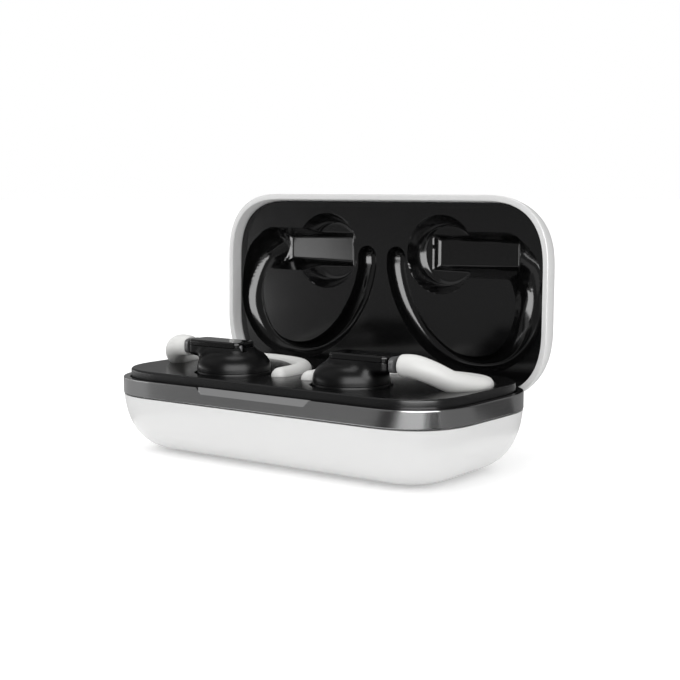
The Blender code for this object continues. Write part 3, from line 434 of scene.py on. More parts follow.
def along_route(x, y, route):
    """For each place, the distance to the route's nearest span and the route's values there,
    nearest meaning least distance less half width, which is the third value."""
    best = np.full(x.shape, 1e9)
    away = np.zeros(x.shape)
    carried = np.zeros((route.shape[1] - 2, *x.shape))
    for start, end in zip(route[:-1], route[1:]):
        run = end[:2] - start[:2]
        share = np.clip(((x - start[0]) * run[0] + (y - start[1]) * run[1]) / (run @ run), 0, 1)
        distance = np.hypot(x - start[0] - share * run[0], y - start[1] - share * run[1])
        values = start[2:, None, None] + share * (end - start)[2:, None, None]
        nearer = distance - values[0] < best
        best = np.where(nearer, distance - values[0], best)
        away = np.where(nearer, distance, away)
        carried = np.where(nearer, values, carried)
    return away, carried


def soft_least(first, second, reach):
    """The lesser of two values, rounded off where they differ by less than reach."""
    near = np.clip(reach - np.abs(first - second), 0, None) / reach
    return np.minimum(first, second) - near**2 * reach / 4


def soft_most(first, second, reach):
    """The greater of two values, rounded off in the same way."""
    return -soft_least(-first, -second, reach)


def plate_places(inset, columns, side_rows, end_rows):
    """A grid that fills the case's plan at an inset: rows across the depth, spaced evenly and
    then closer where the corner turns, each row stretched between the two sides of the plan."""
    size = CORNER - inset
    turned_at = 0.88
    even = np.linspace(0, ROOT_Y + turned_at * size, side_rows)
    turn = np.linspace(math.asin(turned_at ** (CORNER_POWER / 2)), math.pi / 2, end_rows)[1:]
    half = np.concatenate((even, ROOT_Y + size * np.sin(turn) ** (2 / CORNER_POWER)))
    y = np.concatenate((-half[:0:-1], half))
    corner = np.clip((np.abs(y) - ROOT_Y) / size, 0, 1)
    reach = ROOT_X + size * (1 - corner**CORNER_POWER) ** (1 / CORNER_POWER)
    across = np.linspace(-1, 1, columns)
    return across * reach[:, None], np.broadcast_to(y[:, None], (len(y), columns)).copy()


def snapped(x, y, brim, step):
    """Grid places closer to the brim line than just over half a step are moved onto it, along
    the slope of the distance to it."""
    small = 1e-4
    away = brim(x, y)
    slope_x = (brim(x + small, y) - away) / small
    slope_y = (brim(x, y + small) - away) / small
    near = np.abs(away) < 0.55 * step
    near[[0, -1]] = False
    near[:, [0, -1]] = False
    return x - np.where(near, away * slope_x, 0), y - np.where(near, away * slope_y, 0)


def plate(x, y, z, inset, edge_insets, edge_heights, back, stride=4):
    """A closed plate: the moulded face as a fine grid, its edge as rings that follow the plan
    at other insets, and its back as every fourth place of the grid at the back's heights."""
    rows, columns = x.shape
    index = np.arange(rows * columns).reshape(rows, columns)
    here = np.stack((index[:-1, :-1], index[:-1, 1:], index[1:, 1:], index[1:, :-1]), -1).reshape(-1, 4)
    loop = np.concatenate((index[0, :-1], index[:-1, -1], index[-1, :0:-1], index[:0:-1, 0]))
    face = np.stack((x, y, z), -1).reshape(-1, 3)
    brim = face[loop]
    root = np.clip(brim[:, :2], (-ROOT_X, -ROOT_Y), (ROOT_X, ROOT_Y))
    count = len(loop)
    rings = []
    for ring_inset, height in zip(edge_insets, edge_heights):
        plan = root + (brim[:, :2] - root) * (CORNER - ring_inset) / (CORNER - inset)
        rings.append(np.column_stack((plan, np.full(count, height))))
    first = rows * columns
    ring_index = np.vstack((loop, first + np.arange(len(rings) * count).reshape(-1, count)))
    upper, lower = ring_index[:-1], ring_index[1:]
    edge = np.stack((upper, lower, np.roll(lower, -1, 1), np.roll(upper, -1, 1)), -1).reshape(-1, 4)
    last = ring_index[-1]
    coarse = index[::stride, ::stride]
    back_index = np.full(rows * columns, -1)
    inner = coarse[1:-1, 1:-1]
    start = first + len(rings) * count
    back_index[inner.ravel()] = start + np.arange(inner.size)
    back_index[loop] = last
    spot = np.full(rows * columns, -1)
    spot[loop] = np.arange(count)
    cells = np.stack((coarse[:-1, :-1], coarse[1:, :-1], coarse[1:, 1:], coarse[:-1, 1:]), -1)
    middle = cells[1:-1, 1:-1].reshape(-1, 4)
    border = np.concatenate((cells[0], cells[-1], cells[1:-1, 0], cells[1:-1, -1]))
    faces = here.tolist() + edge.tolist() + back_index[middle].tolist()
    for cell in border:
        polygon = []
        for corner, following in zip(cell, np.roll(cell, -1)):
            polygon.append(int(back_index[corner]))
            if spot[corner] >= 0 and spot[following] >= 0:
                ahead = (spot[following] - spot[corner]) % count
                if ahead == stride:
                    polygon += [int(last[(spot[corner] + k) % count]) for k in range(1, stride)]
                elif count - ahead == stride:
                    polygon += [int(last[(spot[corner] - k) % count]) for k in range(1, stride)]
        faces.append(polygon)
    inner_x, inner_y = x.ravel()[inner.ravel()], y.ravel()[inner.ravel()]
    behind = np.column_stack((inner_x, inner_y, back(inner_x[None], inner_y[None])[0]))
    return np.concatenate((face, *rings, behind)), faces


hook_curve = flowing(HOOK_ROUTE, 12)
groove = hook_curve[24:]
groove = np.column_stack((groove[:, :2], groove[:, 3] + 0.4, groove[:, 2]))


def well(x, y, centre_x, centre_y, radius):
    """Distance outside a circle that is mirrored to the other earbud's side."""
    return np.hypot(np.abs(x) - centre_x, y - centre_y) - radius


def groove_depth(x, y):
    """The groove is a round of the hook's radius and its clearance about the hook's centre
    line, with upright sides above it."""
    away, (half, height) = along_route(np.abs(x), y, groove)
    round_depth = DECK_RISE - height + np.sqrt(np.clip(half**2 - away**2, 0, None))
    return np.clip(np.minimum(round_depth, 5.0 * (half + 0.08 - away)), 0, None)


def groove_brim(x, y):
    """Distance to the centre line less the groove's half width at the plinth's top, and far
    off where the hook runs clear above it."""
    away, (half, height) = along_route(np.abs(x), y, groove)
    lift = np.clip(height - DECK_RISE, 0, None)
    return away - np.sqrt(np.clip((half + 0.08) ** 2 - lift**2, 0, None)) + 1e3 * (lift >= half)


def deck_brim(x, y):
    """Distance to the nearer of the groove's edge and the earbud well's."""
    return np.minimum(groove_brim(x, y), well(x, y, BELL_X, BELL_Y, WELL_RADIUS))


def deck_depth(x, y):
    """Depth below the plinth's top: the deepest of the earbud well, the ear-tip well in its floor
    and the hook's groove, each with a steep wall and a fillet at its foot."""
    bell = soft_least(-6.0 * well(x, y, BELL_X, BELL_Y, WELL_RADIUS), WELL_DEPTH, 1.2)
    tip_wall = -9.0 * well(x, y, NOZZLE_X, NOZZLE_Y, TIP_WELL) + WELL_DEPTH
    tip = soft_least(tip_wall, TIP_WELL_DEPTH, 1.5)
    tip = np.where(bell > 2.0, tip, 0.0)
    return soft_most(soft_most(np.maximum(bell, tip), groove_depth(x, y), 0.12), 0.0, 0.12)


DECK_INSET = 2.25
x, y = plate_places(DECK_INSET, 345, 78, 36)
x, y = snapped(x, y, deck_brim, 0.27)
depth = deck_depth(x, y)
edge_in, edge_down = rounded_edge(0.5, 7)
deck_edge_insets = np.concatenate(((DECK_INSET - 0.5 + edge_in)[::-1][1:], [1.75, 1.85, 2.2]))
deck_edge_heights = np.concatenate(((DECK_RISE - edge_down)[::-1][1:], [0.4, DECK_LOW + 0.1, DECK_LOW]))


def deck_back(x, y):
    """The underside is flat but for the cups of the ear-tip wells."""
    cup = soft_least(-5.0 * well(x, y, NOZZLE_X, NOZZLE_Y, CUP_RADIUS), CUP_DEPTH, 1.0)
    return DECK_LOW - np.clip(cup, 0, None)


shape = plate(x, y, DECK_RISE - depth, DECK_INSET, deck_edge_insets, deck_edge_heights, deck_back)
plinth = body("plinth", shape, 50.0)
tools = [brick((-WINDOW_HALF, HINGE_Y - 2.05, -4.0), (WINDOW_HALF, BEYOND, 3.0))]
for side in (1, -1):
    for pitch in (-0.5, 0.5):
        tools.append(round_bar(0.75, side * (BELL_X + pitch * PIN_PITCH), CHARGE_Y, -4.0, 1.0))
cut(plinth, tools, 50.0, solver="MANIFOLD")
black_gloss = moulded(
    "polished_black",
    (0.0035, 0.0035, 0.0038),
    (0.0055, 0.0055, 0.0058),
    rough=0.24,
    swing=0.06,
    grain_mm=0.3,
    grain_depth=0.0004,
    Specular_IOR_Level=0.42,
)
fit(plinth, black_gloss, "base", "gloss_black", "base_deck")


# ------------------------------------------------------------------ lid shell
# The white lid: the same satin plastic as the tub, dished, with a flat rim. Its inner wall runs
# straight from the rim down to the black tray. All lid pieces are worked out with the lid shut
# and then turned open about the hinge pin.

LID_GAP = 0.25
LID_HEIGHT, LID_ROUND, LID_POWER = 14.0, 10.0, 1.7
LID_WALL, LID_ROOF = 1.45, 1.5
TRAY_FACE = 3.19
TRAY_PLATE = 1.2
OPEN_ANGLE = math.radians(90.69)


def opened(shape):
    """The lid's points turned back about the hinge pin by the open angle."""
    points, faces = shape
    y, z = points[:, 1] - HINGE_Y, points[:, 2] - HINGE_Z
    cos, sin = math.cos(OPEN_ANGLE), math.sin(OPEN_ANGLE)
    return np.column_stack((points[:, 0], HINGE_Y + y * cos + z * sin, HINGE_Z - y * sin + z * cos)), faces


edge_in, edge_down = rounded_edge(0.3)
outer_depths = wall_depths(1.2, LID_HEIGHT, LID_POWER, 60)
inner_depths = wall_depths(5.9, LID_HEIGHT - LID_ROOF, LID_POWER, 24)
insets = np.concatenate(
    (
        (LID_WALL + drawn_in(inner_depths, LID_HEIGHT - LID_ROOF, LID_ROUND, LID_POWER))[::-1],
        [LID_WALL + 0.4, LID_WALL + 0.02, LID_WALL - 0.1, LID_WALL - 0.25],
        edge_in[::-1],
        drawn_in(outer_depths, LID_HEIGHT, LID_ROUND, LID_POWER),
    )
)
heights = np.concatenate(
    (
        inner_depths[::-1] + LID_GAP,
        [TRAY_FACE + TRAY_PLATE, LID_GAP + 0.25, LID_GAP + 0.07, LID_GAP],
        LID_GAP + edge_down[::-1],
        outer_depths + LID_GAP,
    )
)
lid = body("upper_shell", opened(skin(outlines(insets, heights))))
fit(lid, white_plastic, "lid", "white_shell", "lid_shell")


# ------------------------------------------------------------------ lid tray
# The black tray in the lid, moulded in one piece with the pockets that close over each earbud: a
# round one for its bell, a drafted one for its stem and a channel that follows its hook.

# The channel's centre line: x, y, half width at the face and the height of its floor
TRAY_ROUTE = (
    (36.5, -10.1, 5.2, 10.6),
    (40.6, -7.2, 4.4, 9.6),
    (42.6, -1.0, 3.8, 7.6),
    (42.4, 5.2, 3.8, 6.7),
    (39.8, 11.0, 3.2, 6.6),
    (35.4, 15.0, 2.5, 6.6),
    (29.4, 16.7, 2.1, 6.6),
    (23.0, 16.3, 2.1, 6.6),
    (17.6, 14.0, 2.3, 6.6),
    (12.7, 10.2, 2.5, 6.6),
    (9.0, 5.5, 2.7, 6.6),
    (6.2, 0.2, 2.8, 6.6),
    (4.6, -5.4, 2.85, 6.6),
    (4.5, -8.6, 2.85, 6.6),
)
tray_curve = flowing(TRAY_ROUTE, 20)
STEM_LOW = np.array((11.2, -15.6))
STEM_HIGH = np.array((38.0, -4.4))
STEM_CORNER = 1.6
STEM_DEPTH, STEM_FALL, STEM_FALL_FROM = 7.3, 0.062, 24.0
BELL_POCKET, BELL_DEPTH = 9.8, 4.71
BELL_DRAFT, STEM_DRAFT, CHANNEL_DRAFT = 2.9, 3.9, 5.0
BELL_FILLET, STEM_FILLET, CHANNEL_FILLET = 4.4, 3.6, 0.5


def rounded_off(past_x, past_y, radius):
    """Distance to a corner rounded by a radius, from how far a place lies past each of the two
    straight sides: the straight distance outside both, the greater of the two inside."""
    a, b = past_x + radius, past_y + radius
    return np.hypot(np.clip(a, 0, None), np.clip(b, 0, None)) + np.clip(np.maximum(a, b), None, 0) - radius


def stem_outline(x, y, widen):
    """Distance to the stem pocket's rectangle with its corners rounded."""
    middle, half = (STEM_LOW + STEM_HIGH) / 2, (STEM_HIGH - STEM_LOW) / 2 + widen
    return rounded_off(np.abs(np.abs(x) - middle[0]) - half[0], np.abs(y - middle[1]) - half[1], STEM_CORNER)


def tray_brim(x, y):
    """Distance to the edge of the nearest pocket at the tray's face."""
    away, (half, _) = along_route(np.abs(x), y, tray_curve)
    bell = well(x, y, BELL_X, BELL_Y, BELL_POCKET)
    return np.minimum(np.minimum(away - half, bell), stem_outline(x, y, 0.0))


def tray_depth(x, y, widen=0.0, deepen=0.0):
    """Depth behind the tray's face: the deepest of the three pockets, each a straight drafted
    wall that runs through a large fillet into its floor."""
    away, (half, floor) = along_route(np.abs(x), y, tray_curve)
    reach = half + widen
    hollow = np.sqrt(np.clip(1 - (away / reach) ** 2, 0, None))
    round_floor = (floor - TRAY_FACE + deepen) * hollow
    channel = soft_least(CHANNEL_DRAFT * (reach - away), round_floor, CHANNEL_FILLET)
    bell_wall = -BELL_DRAFT * well(x, y, BELL_X, BELL_Y, BELL_POCKET + widen)
    bell = soft_least(bell_wall, BELL_DEPTH + deepen, BELL_FILLET)
    slope = STEM_FALL * (np.abs(x) - STEM_FALL_FROM)
    stem = soft_least(-STEM_DRAFT * stem_outline(x, y, widen), STEM_DEPTH + slope + deepen, STEM_FILLET)
    return np.clip(soft_most(np.maximum(channel, bell), stem, 0.25), 0, None)


def tray_back(x, y):
    """The back stands off the pockets by their wall and stays inside the lid's dish."""
    past_x, past_y = np.clip(np.abs(x) - ROOT_X, 0, None), np.clip(np.abs(y) - ROOT_Y, 0, None)
    inset = CORNER - (past_x**CORNER_POWER + past_y**CORNER_POWER) ** (1 / CORNER_POWER)
    inner = LID_HEIGHT - LID_ROOF
    share = np.clip((inset - LID_WALL - 0.35) / LID_ROUND, 0, 1)
    dish = inner * (1 - (1 - share) ** LID_POWER) ** (1 / LID_POWER)
    behind = tray_depth(x, y, 0.8, 0.9)
    behind = np.where(behind > 0.05, np.maximum(behind, TRAY_PLATE), TRAY_PLATE)
    room = np.maximum(dish + LID_GAP - TRAY_FACE, tray_depth(x, y) + 0.3)
    return TRAY_FACE + np.minimum(behind, np.maximum(room, TRAY_PLATE))


TRAY_INSET = 2.1
x, y = plate_places(TRAY_INSET, 361, 80, 40)
x, y = snapped(x, y, tray_brim, 0.26)
tray_edge_insets = [2.02, 1.97, 1.95, 2.15]
tray_edge_heights = [TRAY_FACE + 0.03, TRAY_FACE + 0.09, TRAY_FACE + 0.2, TRAY_FACE + TRAY_PLATE]
shape = plate(x, y, TRAY_FACE + tray_depth(x, y), TRAY_INSET, tray_edge_insets, tray_edge_heights, tray_back)
tray = body("pocket_tray", opened(shape), 60.0)
cut(tray, [opened(brick((-6.6, HINGE_Y - 1.84, 0.0), (6.6, BEYOND, 6.4)))], 60.0, solver="MANIFOLD")
tray_gloss = moulded(
    "tray_black",
    (0.0022, 0.0022, 0.0024),
    (0.0036, 0.0036, 0.0038),
    rough=0.14,
    swing=0.05,
    grain_mm=0.3,
    grain_depth=0.0004,
    Specular_IOR_Level=0.5,
)
fit(tray, tray_gloss, "lid", "gloss_black", "lid_tray")


# ------------------------------------------------------------------ hinge
# Stamped and nickel-plated steel: a bracket on two screws, the lid's arm on the tray's stakes,
# the pin through both, and the coil spring that snaps the lid open or shut.


def metal(name, color, rough, brush):
    """Plated metal with fine brushing along X and a few duller patches."""
    finish = Finish(name, Metallic=1.0)
    lines = finish.cloud(4.0, 2.0, 0.6, (0.05, 1.0, 1.0))
    dull = finish.cloud(0.4, 3.0)
    darker = tuple(0.86 * part for part in color)
    return finish.feed(
        Base_Color=finish.blend(dull, darker, color),
        Roughness=rough + dull * 0.12 + (lines - 0.5) * 0.1,
        Normal=finish.relief(lines, brush, 0.5),
    )


def dress(finish, *nodes):
    """Carried-over CAD nodes take the finish in every material slot."""
    for node in nodes:
        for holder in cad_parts[node].material_slots:
            holder.material = finish.material


nickel = metal("nickel_plate", (0.62, 0.61, 0.59), 0.2, 0.003)
dress(nickel, "hinge_bracket", "lid_hinge_arm")
polished_steel = metal("polished_steel", (0.66, 0.66, 0.67), 0.12, 0.0015)
dress(polished_steel, "hinge_pin", "bracket_screw_left", "bracket_screw_right")
spring_steel = metal("spring_steel", (0.42, 0.42, 0.43), 0.28, 0.002)
dress(spring_steel, "hinge_spring")
magnet_plate = metal("magnet_plate", (0.70, 0.69, 0.66), 0.16, 0.001)
magnets = [f"{kind}_magnet_{side}" for kind in ("seat", "base", "lid", "bud") for side in ("left", "right")]
dress(magnet_plate, *magnets)


# ------------------------------------------------------------------ case electronics
# A foil-wrapped cell on the floor, the green board on its posts, the sensor that feels the lid's
# magnet, the drawn-steel charging socket with its black tongue, and the pin holders.

wrap = Finish("cell_wrap", Metallic=0.85)
wrinkles = wrap.cloud(0.35, 5.0, 0.6, (1.0, 0.4, 1.0))
wrap.feed(
    Base_Color=wrap.blend(wrinkles, (0.44, 0.46, 0.50), (0.60, 0.62, 0.66)),
    Roughness=0.26 + wrinkles * 0.2,
    Normal=wrap.relief(wrinkles, 0.08, 0.7),
)
dress(wrap, "case_battery", "bud_battery_left", "bud_battery_right")

mask = Finish("solder_mask", Coat_Weight=0.4, Coat_Roughness=0.2)
place = mask.in_millimetres()
settings = {"feature": "DISTANCE_TO_EDGE", "distance": "EUCLIDEAN"}
cells = mask.add("TexVoronoi", settings, {"Vector": place, "Scale": 0.55}, "Distance")
dots = mask.add("TexVoronoi", {"feature": "F1"}, {"Vector": place, "Scale": 0.9}, "Distance")
tracks = cells < 0.06
pads = dots < 0.22
green = mask.blend(tracks, (0.010, 0.075, 0.030), (0.022, 0.150, 0.055))
mask.feed(
    Base_Color=mask.blend(pads, green, (0.75, 0.56, 0.24)),
    Metallic=pads * 0.9,
    Roughness=0.36 - pads * 0.12 + mask.cloud(1.0) * 0.08,
    Normal=mask.relief(tracks * 0.5 + pads * 0.5, 0.02, 0.5),
)
dress(mask, "main_board", "bud_board_left", "bud_board_right")

resin = moulded("moulding_resin", (0.014, 0.014, 0.015), (0.030, 0.030, 0.031), 0.46, 0.12, 0.15, 0.01)
dress(resin, "lid_sensor", "usb_tongue", "pin_holder_left", "pin_holder_right")
socket_steel = metal("socket_steel", (0.58, 0.58, 0.60), 0.22, 0.003)
dress(socket_steel, "usb_socket")


# ------------------------------------------------------------------ charging contacts
# Gold-plated plungers in the plinth and flush gold pads in the bells, which meet when an earbud
# is seated.

gold = metal("gold_plate", (0.86, 0.62, 0.27), 0.14, 0.001)
for side in ("left", "right"):
    for number in (1, 2):
        dress(gold, f"plunger_{side}_{number}", f"charge_pad_{side}_{number}")


# ------------------------------------------------------------------ earbud shells
# Two satin black half shells snapped together round each bell. The upper one swells into the
# stem; a polished touch panel closes the stem's top, with a grey microphone slot at its end.

BELL_FOOT, BELL_SPLIT, BELL_TOP = -1.3, 2.6, 7.3
STEM_X0, STEM_X1, STEM_Y = 13.4, 29.6, -10.0
STEM_HALF, STEM_FOOT, STEM_TOP = 3.6, 5.7, 9.6
STEP = STEM_TOP - 1.4
SHELL = 1.1
SHOULDER, STEM_BLEND = 4.1, 2.2
RIM_EDGE, RIM_TURN = 0.15, 1.57


def rounded_box(x, y, z, middle, half, plan_round, edge_round):
    """Distance to a box with its upright corners rounded by one radius and its other edges by
    another: a rounded rectangle in plan, carried up and rounded over at both ends."""
    plan = rounded_off(np.abs(x - middle[0]) - half[0], np.abs(y - middle[1]) - half[1], plan_round)
    return rounded_off(plan, np.abs(z - middle[2]) - half[2], edge_round)


def dome(x, y, z, radius, height, shoulder):
    """Distance to an upright plug, endless downwards, whose top edge is a rounded shoulder."""
    return rounded_off(np.hypot(x - BELL_X, y - BELL_Y) - radius, z - height, shoulder)


def upper_form(x, y, z, wall):
    """Inside where negative: the dome and the stem grown together with a soft fillet, cut flat
    under the touch panel, all drawn in by a wall."""
    stem_middle = ((STEM_X0 + STEM_X1) / 2, STEM_Y, (STEM_FOOT + STEM_TOP) / 2)
    stem_half = ((STEM_X1 - STEM_X0) / 2, STEM_HALF, (STEM_TOP - STEM_FOOT) / 2)
    stem = rounded_box(x, y, z, stem_middle, stem_half, 1.7, 0.9)
    bell = dome(x, y, z, BELL_RADIUS, BELL_TOP, SHOULDER)
    return soft_most(soft_least(stem, bell, STEM_BLEND) + wall, z - STEP + wall, 0.12)


def upper_shell(wall, around, down, floor):
    """The form's skin found along rays from a point inside the bell's top: every ray is cut in
    half again and again until it ends on the skin. The last ring lies at the floor's height."""
    centre = np.array((BELL_X + 1.0, BELL_Y - 0.1, 6.4))
    turn = np.linspace(0, 2 * math.pi, around, endpoint=False)
    turn = turn - 0.42 * np.sin(turn)
    radius = BELL_RADIUS - wall
    rim_x = BELL_X + radius * np.cos(turn) - centre[0]
    rim_y = BELL_Y + radius * np.sin(turn) - centre[1]
    heading = np.arctan2(rim_y, rim_x)
    lowest = np.arctan2(np.hypot(rim_x, rim_y), floor - centre[2])
    tilt = np.linspace(0.004, 1, down)[:, None] * lowest
    ray = np.stack((np.sin(tilt) * np.cos(heading), np.sin(tilt) * np.sin(heading), np.cos(tilt)))
    near, far = np.zeros(tilt.shape), np.full(tilt.shape, 16.0)
    for _ in range(30):
        middle = (near + far) / 2
        x, y, z = centre[:, None, None] + ray * middle
        inside = upper_form(x, y, z, wall) < 0
        near, far = np.where(inside, middle, near), np.where(inside, far, middle)
    places = (centre[:, None, None] + ray * near).transpose(1, 2, 0)
    places[-1, :, 2] = floor
    return places


def revolved(profile, x, y, sides=96):
    """A profile of radii and heights carried round an upright axis."""
    radius, height = np.asarray(profile, float).T[:, :, None]
    turn = np.linspace(0, 2 * math.pi, sides, endpoint=False)
    return np.stack((x + radius * np.cos(turn), y + radius * np.sin(turn), height + 0 * turn), -1)


def box_rings(middle, half, plan_round, levels, steps=10):
    """Rings of a rounded rectangle: each level gives its inset and height."""
    turn = np.linspace(0, math.pi / 2, steps)
    rings = []
    for inset, height in levels:
        radius = max(plan_round - inset, 0.05)
        along = half[0] - inset - radius + radius * np.cos(turn)
        across = half[1] - inset - radius + radius * np.sin(turn)
        x = np.concatenate((along, -along[::-1], -along, along[::-1]))
        y = np.concatenate((across, across[::-1], -across, -across[::-1]))
        rings.append(np.column_stack((middle[0] + x, middle[1] + y, np.full(len(x), height))))
    return np.stack(rings)


def sided(shape, side):
    """The right earbud's shape, or its mirror image on the left with its faces turned over."""
    points, faces = shape
    return (points, faces) if side > 0 else (points * (-1, 1, 1), [face[::-1] for face in faces])


satin_black = moulded(
    "satin_black",
    (0.0016, 0.0016, 0.0018),
    (0.0028, 0.0028, 0.0030),
    rough=0.31,
    swing=0.08,
    grain_mm=0.14,
    grain_depth=0.002,
    Specular_IOR_Level=0.19,
)
panel_gloss = moulded(
    "panel_black",
    (0.0020, 0.0020, 0.0022),
    (0.0034, 0.0034, 0.0036),
    rough=0.12,
    swing=0.05,
    grain_mm=0.3,
    grain_depth=0.0004,
    Specular_IOR_Level=0.34,
)
slot_grey = moulded("slot_grey", (0.16, 0.16, 0.165), (0.24, 0.24, 0.245), 0.4, 0.1, 0.12, 0.01)

outer = upper_shell(0.0, 240, 110, BELL_SPLIT + 0.08)
inner = upper_shell(SHELL, 240, 40, BELL_SPLIT + 0.08)
upper = skin(np.concatenate((outer, inner[::-1])))
edge_in, edge_down = rounded_edge(0.5, 9)
foot = np.column_stack((BELL_RADIUS - edge_in, BELL_FOOT + edge_down))[::-1]
arc = np.linspace(0, RIM_TURN, 4)
rim_radius = BELL_RADIUS - RIM_EDGE + RIM_EDGE * np.cos(arc)
rim = np.column_stack((rim_radius, BELL_SPLIT - RIM_EDGE + RIM_EDGE * np.sin(arc)))
cup_profile = np.vstack(
    (
        [(2.8, BELL_FOOT), (BELL_RADIUS - 2.2, BELL_FOOT)],
        foot,
        [(BELL_RADIUS, 0.4), (BELL_RADIUS, 1.6)],
        rim,
        [(BELL_RADIUS - SHELL, BELL_SPLIT), (BELL_RADIUS - SHELL, 0.2)],
        [(BELL_RADIUS - 1.5, -0.2), (2.2, -0.2)],
    )
)
cup = skin(revolved(cup_profile, BELL_X, BELL_Y))
spout_profile = [(2.7, -0.7), (2.7, -5.3), (2.75, -5.35), (2.7, -5.6), (2.55, -5.7)]
spout = skin(revolved(spout_profile, NOZZLE_X, NOZZLE_Y, 64))
bore = skin(revolved([(1.8, -6.7), (1.8, 0.8)], NOZZLE_X, NOZZLE_Y, 48))
recess_levels = [(0.0, BELL_FOOT - 1.0), (0.0, BELL_FOOT + 0.7)]
recess = skin(box_rings((BELL_X, CHARGE_Y), (2.6, 1.1), 1.0, recess_levels))

PANEL_MIDDLE = ((STEM_X0 + STEM_X1) / 2, STEM_Y)
PANEL_HALF = ((STEM_X1 - STEM_X0) / 2, STEM_HALF)
edge_in, edge_down = rounded_edge(0.5, 7)
panel_levels = [(0.03, STEP + 0.06), (0.0, STEP + 0.09), (0.0, STEP + 0.2), (0.0, STEP + 0.8)]
panel_levels += list(zip(edge_in, STEM_TOP - edge_down))
panel_levels += [(0.9, STEM_TOP), (1.4, STEM_TOP)]
panel = skin(box_rings(PANEL_MIDDLE, PANEL_HALF, 1.7, panel_levels))
MIC_Y = STEM_Y - 1.8
notch = brick((STEM_X0 - 1.0, MIC_Y - 0.75, STEM_TOP - 2.5), (STEM_X0 + 1.2, MIC_Y + 0.75, STEM_TOP - 0.4))
slot_levels = [(0.1, STEM_TOP - 2.2), (0.0, STEM_TOP - 2.1), (0.0, STEM_TOP - 0.8), (0.1, STEM_TOP - 0.7)]
slot_block = skin(box_rings((STEM_X0 + 0.5, MIC_Y), (0.4, 0.45), 0.2, slot_levels, 5))

for side, name in ((1, "right"), (-1, "left")):
    rider = f"bud_{name}"
    piece = cut(body(f"bell_top_{name}", sided(upper, side)), [sided(notch, side)])
    fit(piece, satin_black, rider, "soft_black", f"outer_shell_{name}")
    piece = body(f"bell_cup_{name}", sided(cup, side))
    cut(piece, [sided(spout, side)], operation="UNION")
    cut(piece, [sided(bore, side), sided(recess, side)])
    fit(piece, satin_black, rider, "soft_black", f"bell_shell_{name}")
    piece = cut(body(f"touch_panel_{name}", sided(panel, side)), [sided(notch, side)])
    fit(piece, panel_gloss, rider, "gloss_black", f"touch_cover_{name}")
    piece = body(f"mic_slot_{name}", sided(slot_block, side))
    fit(piece, slot_grey, rider, "grey_collar", f"microphone_slot_{name}")


# ------------------------------------------------------------------ hooks and collars
# The ear hook is matt white silicone moulded over a springy core, thick at its root and at its
# tip. A grey ribbed collar joins its root to the stem.


def hook_skin(sides=44, cap=9):
    """Circles of the route's radius square to its centre line, with a blunt cap at the root and
    a round one at the tip."""
    curve = flowing(HOOK_ROUTE, 14)
    centre, radius = curve[:, :3], curve[:, 3]
    ahead = np.gradient(centre, axis=0)
    ahead /= np.linalg.norm(ahead, axis=1)[:, None]
    level = np.cross(ahead, (0.0, 0.0, 1.0))
    level /= np.linalg.norm(level, axis=1)[:, None]
    above = np.cross(level, ahead)
    turn = np.linspace(0, 2 * math.pi, sides, endpoint=False)[:, None]
    spoke = np.cos(turn) * level[:, None] + np.sin(turn) * above[:, None]
    tube = centre[:, None] + radius[:, None, None] * spoke
    out = np.sin(np.linspace(0.06, math.pi / 2, cap))[:, None, None]
    fall = (1 - out**4) ** (1 / 4)
    start = centre[0] - (0.2, 0.0, 0.0)
    root = start + 0.32 * radius[0] * (1 - fall) * ahead[0] + radius[0] * out * spoke[0]
    fall = np.sqrt(np.clip(1 - out**2, 0, None))
    tip = centre[-1] + radius[-1] * fall * ahead[-1] + radius[-1] * out * spoke[-1]
    return skin(np.concatenate((root[:-1], tube[4:], tip[::-1][1:])))


def collar_skin(ribs=4, sides=56):
    """A squared-off round bar along X whose size swells a little at each rib."""
    start, length = STEM_X1 + 0.3, 1.1
    share = np.linspace(0, 1, 8 * ribs + 1)
    size = 0.955 + 0.045 * np.abs(np.sin(math.pi * ribs * share))
    size[[0, -1]] = 0.88
    turn = np.linspace(0, 2 * math.pi, sides, endpoint=False)
    y = 3.1 * np.sign(np.cos(turn)) * np.abs(np.cos(turn)) ** (2 / 4)
    z = 1.82 * np.sign(np.sin(turn)) * np.abs(np.sin(turn)) ** (2 / 4)
    x = start + length * share[:, None] + 0 * y
    height = (STEM_FOOT + STEM_TOP) / 2
    return skin(np.stack((x, STEM_Y + size[:, None] * y, height + size[:, None] * z), -1))


matt_white = moulded(
    "silicone_white", (0.66, 0.66, 0.645), (0.74, 0.74, 0.725), 0.52, 0.1, 0.14, 0.006, Specular_IOR_Level=0.4
)
collar_grey = moulded("collar_grey", (0.055, 0.055, 0.057), (0.10, 0.10, 0.102), 0.36, 0.1, 0.12, 0.006)
hook, ring = hook_skin(), collar_skin()

for side, name in ((1, "right"), (-1, "left")):
    piece = body(f"hook_{name}", sided(hook, side), 60.0)
    fit(piece, matt_white, f"bud_{name}", "white_hook", f"ear_hook_{name}")
    piece = body(f"ribbed_collar_{name}", sided(ring, side), 35.0)
    fit(piece, collar_grey, f"bud_{name}", "grey_collar", f"collar_{name}")


# ------------------------------------------------------------------ ear tips and drivers
# Soft silicone tips pushed over the nozzles, the fine steel mesh in each nozzle, and the
# drivers behind them.

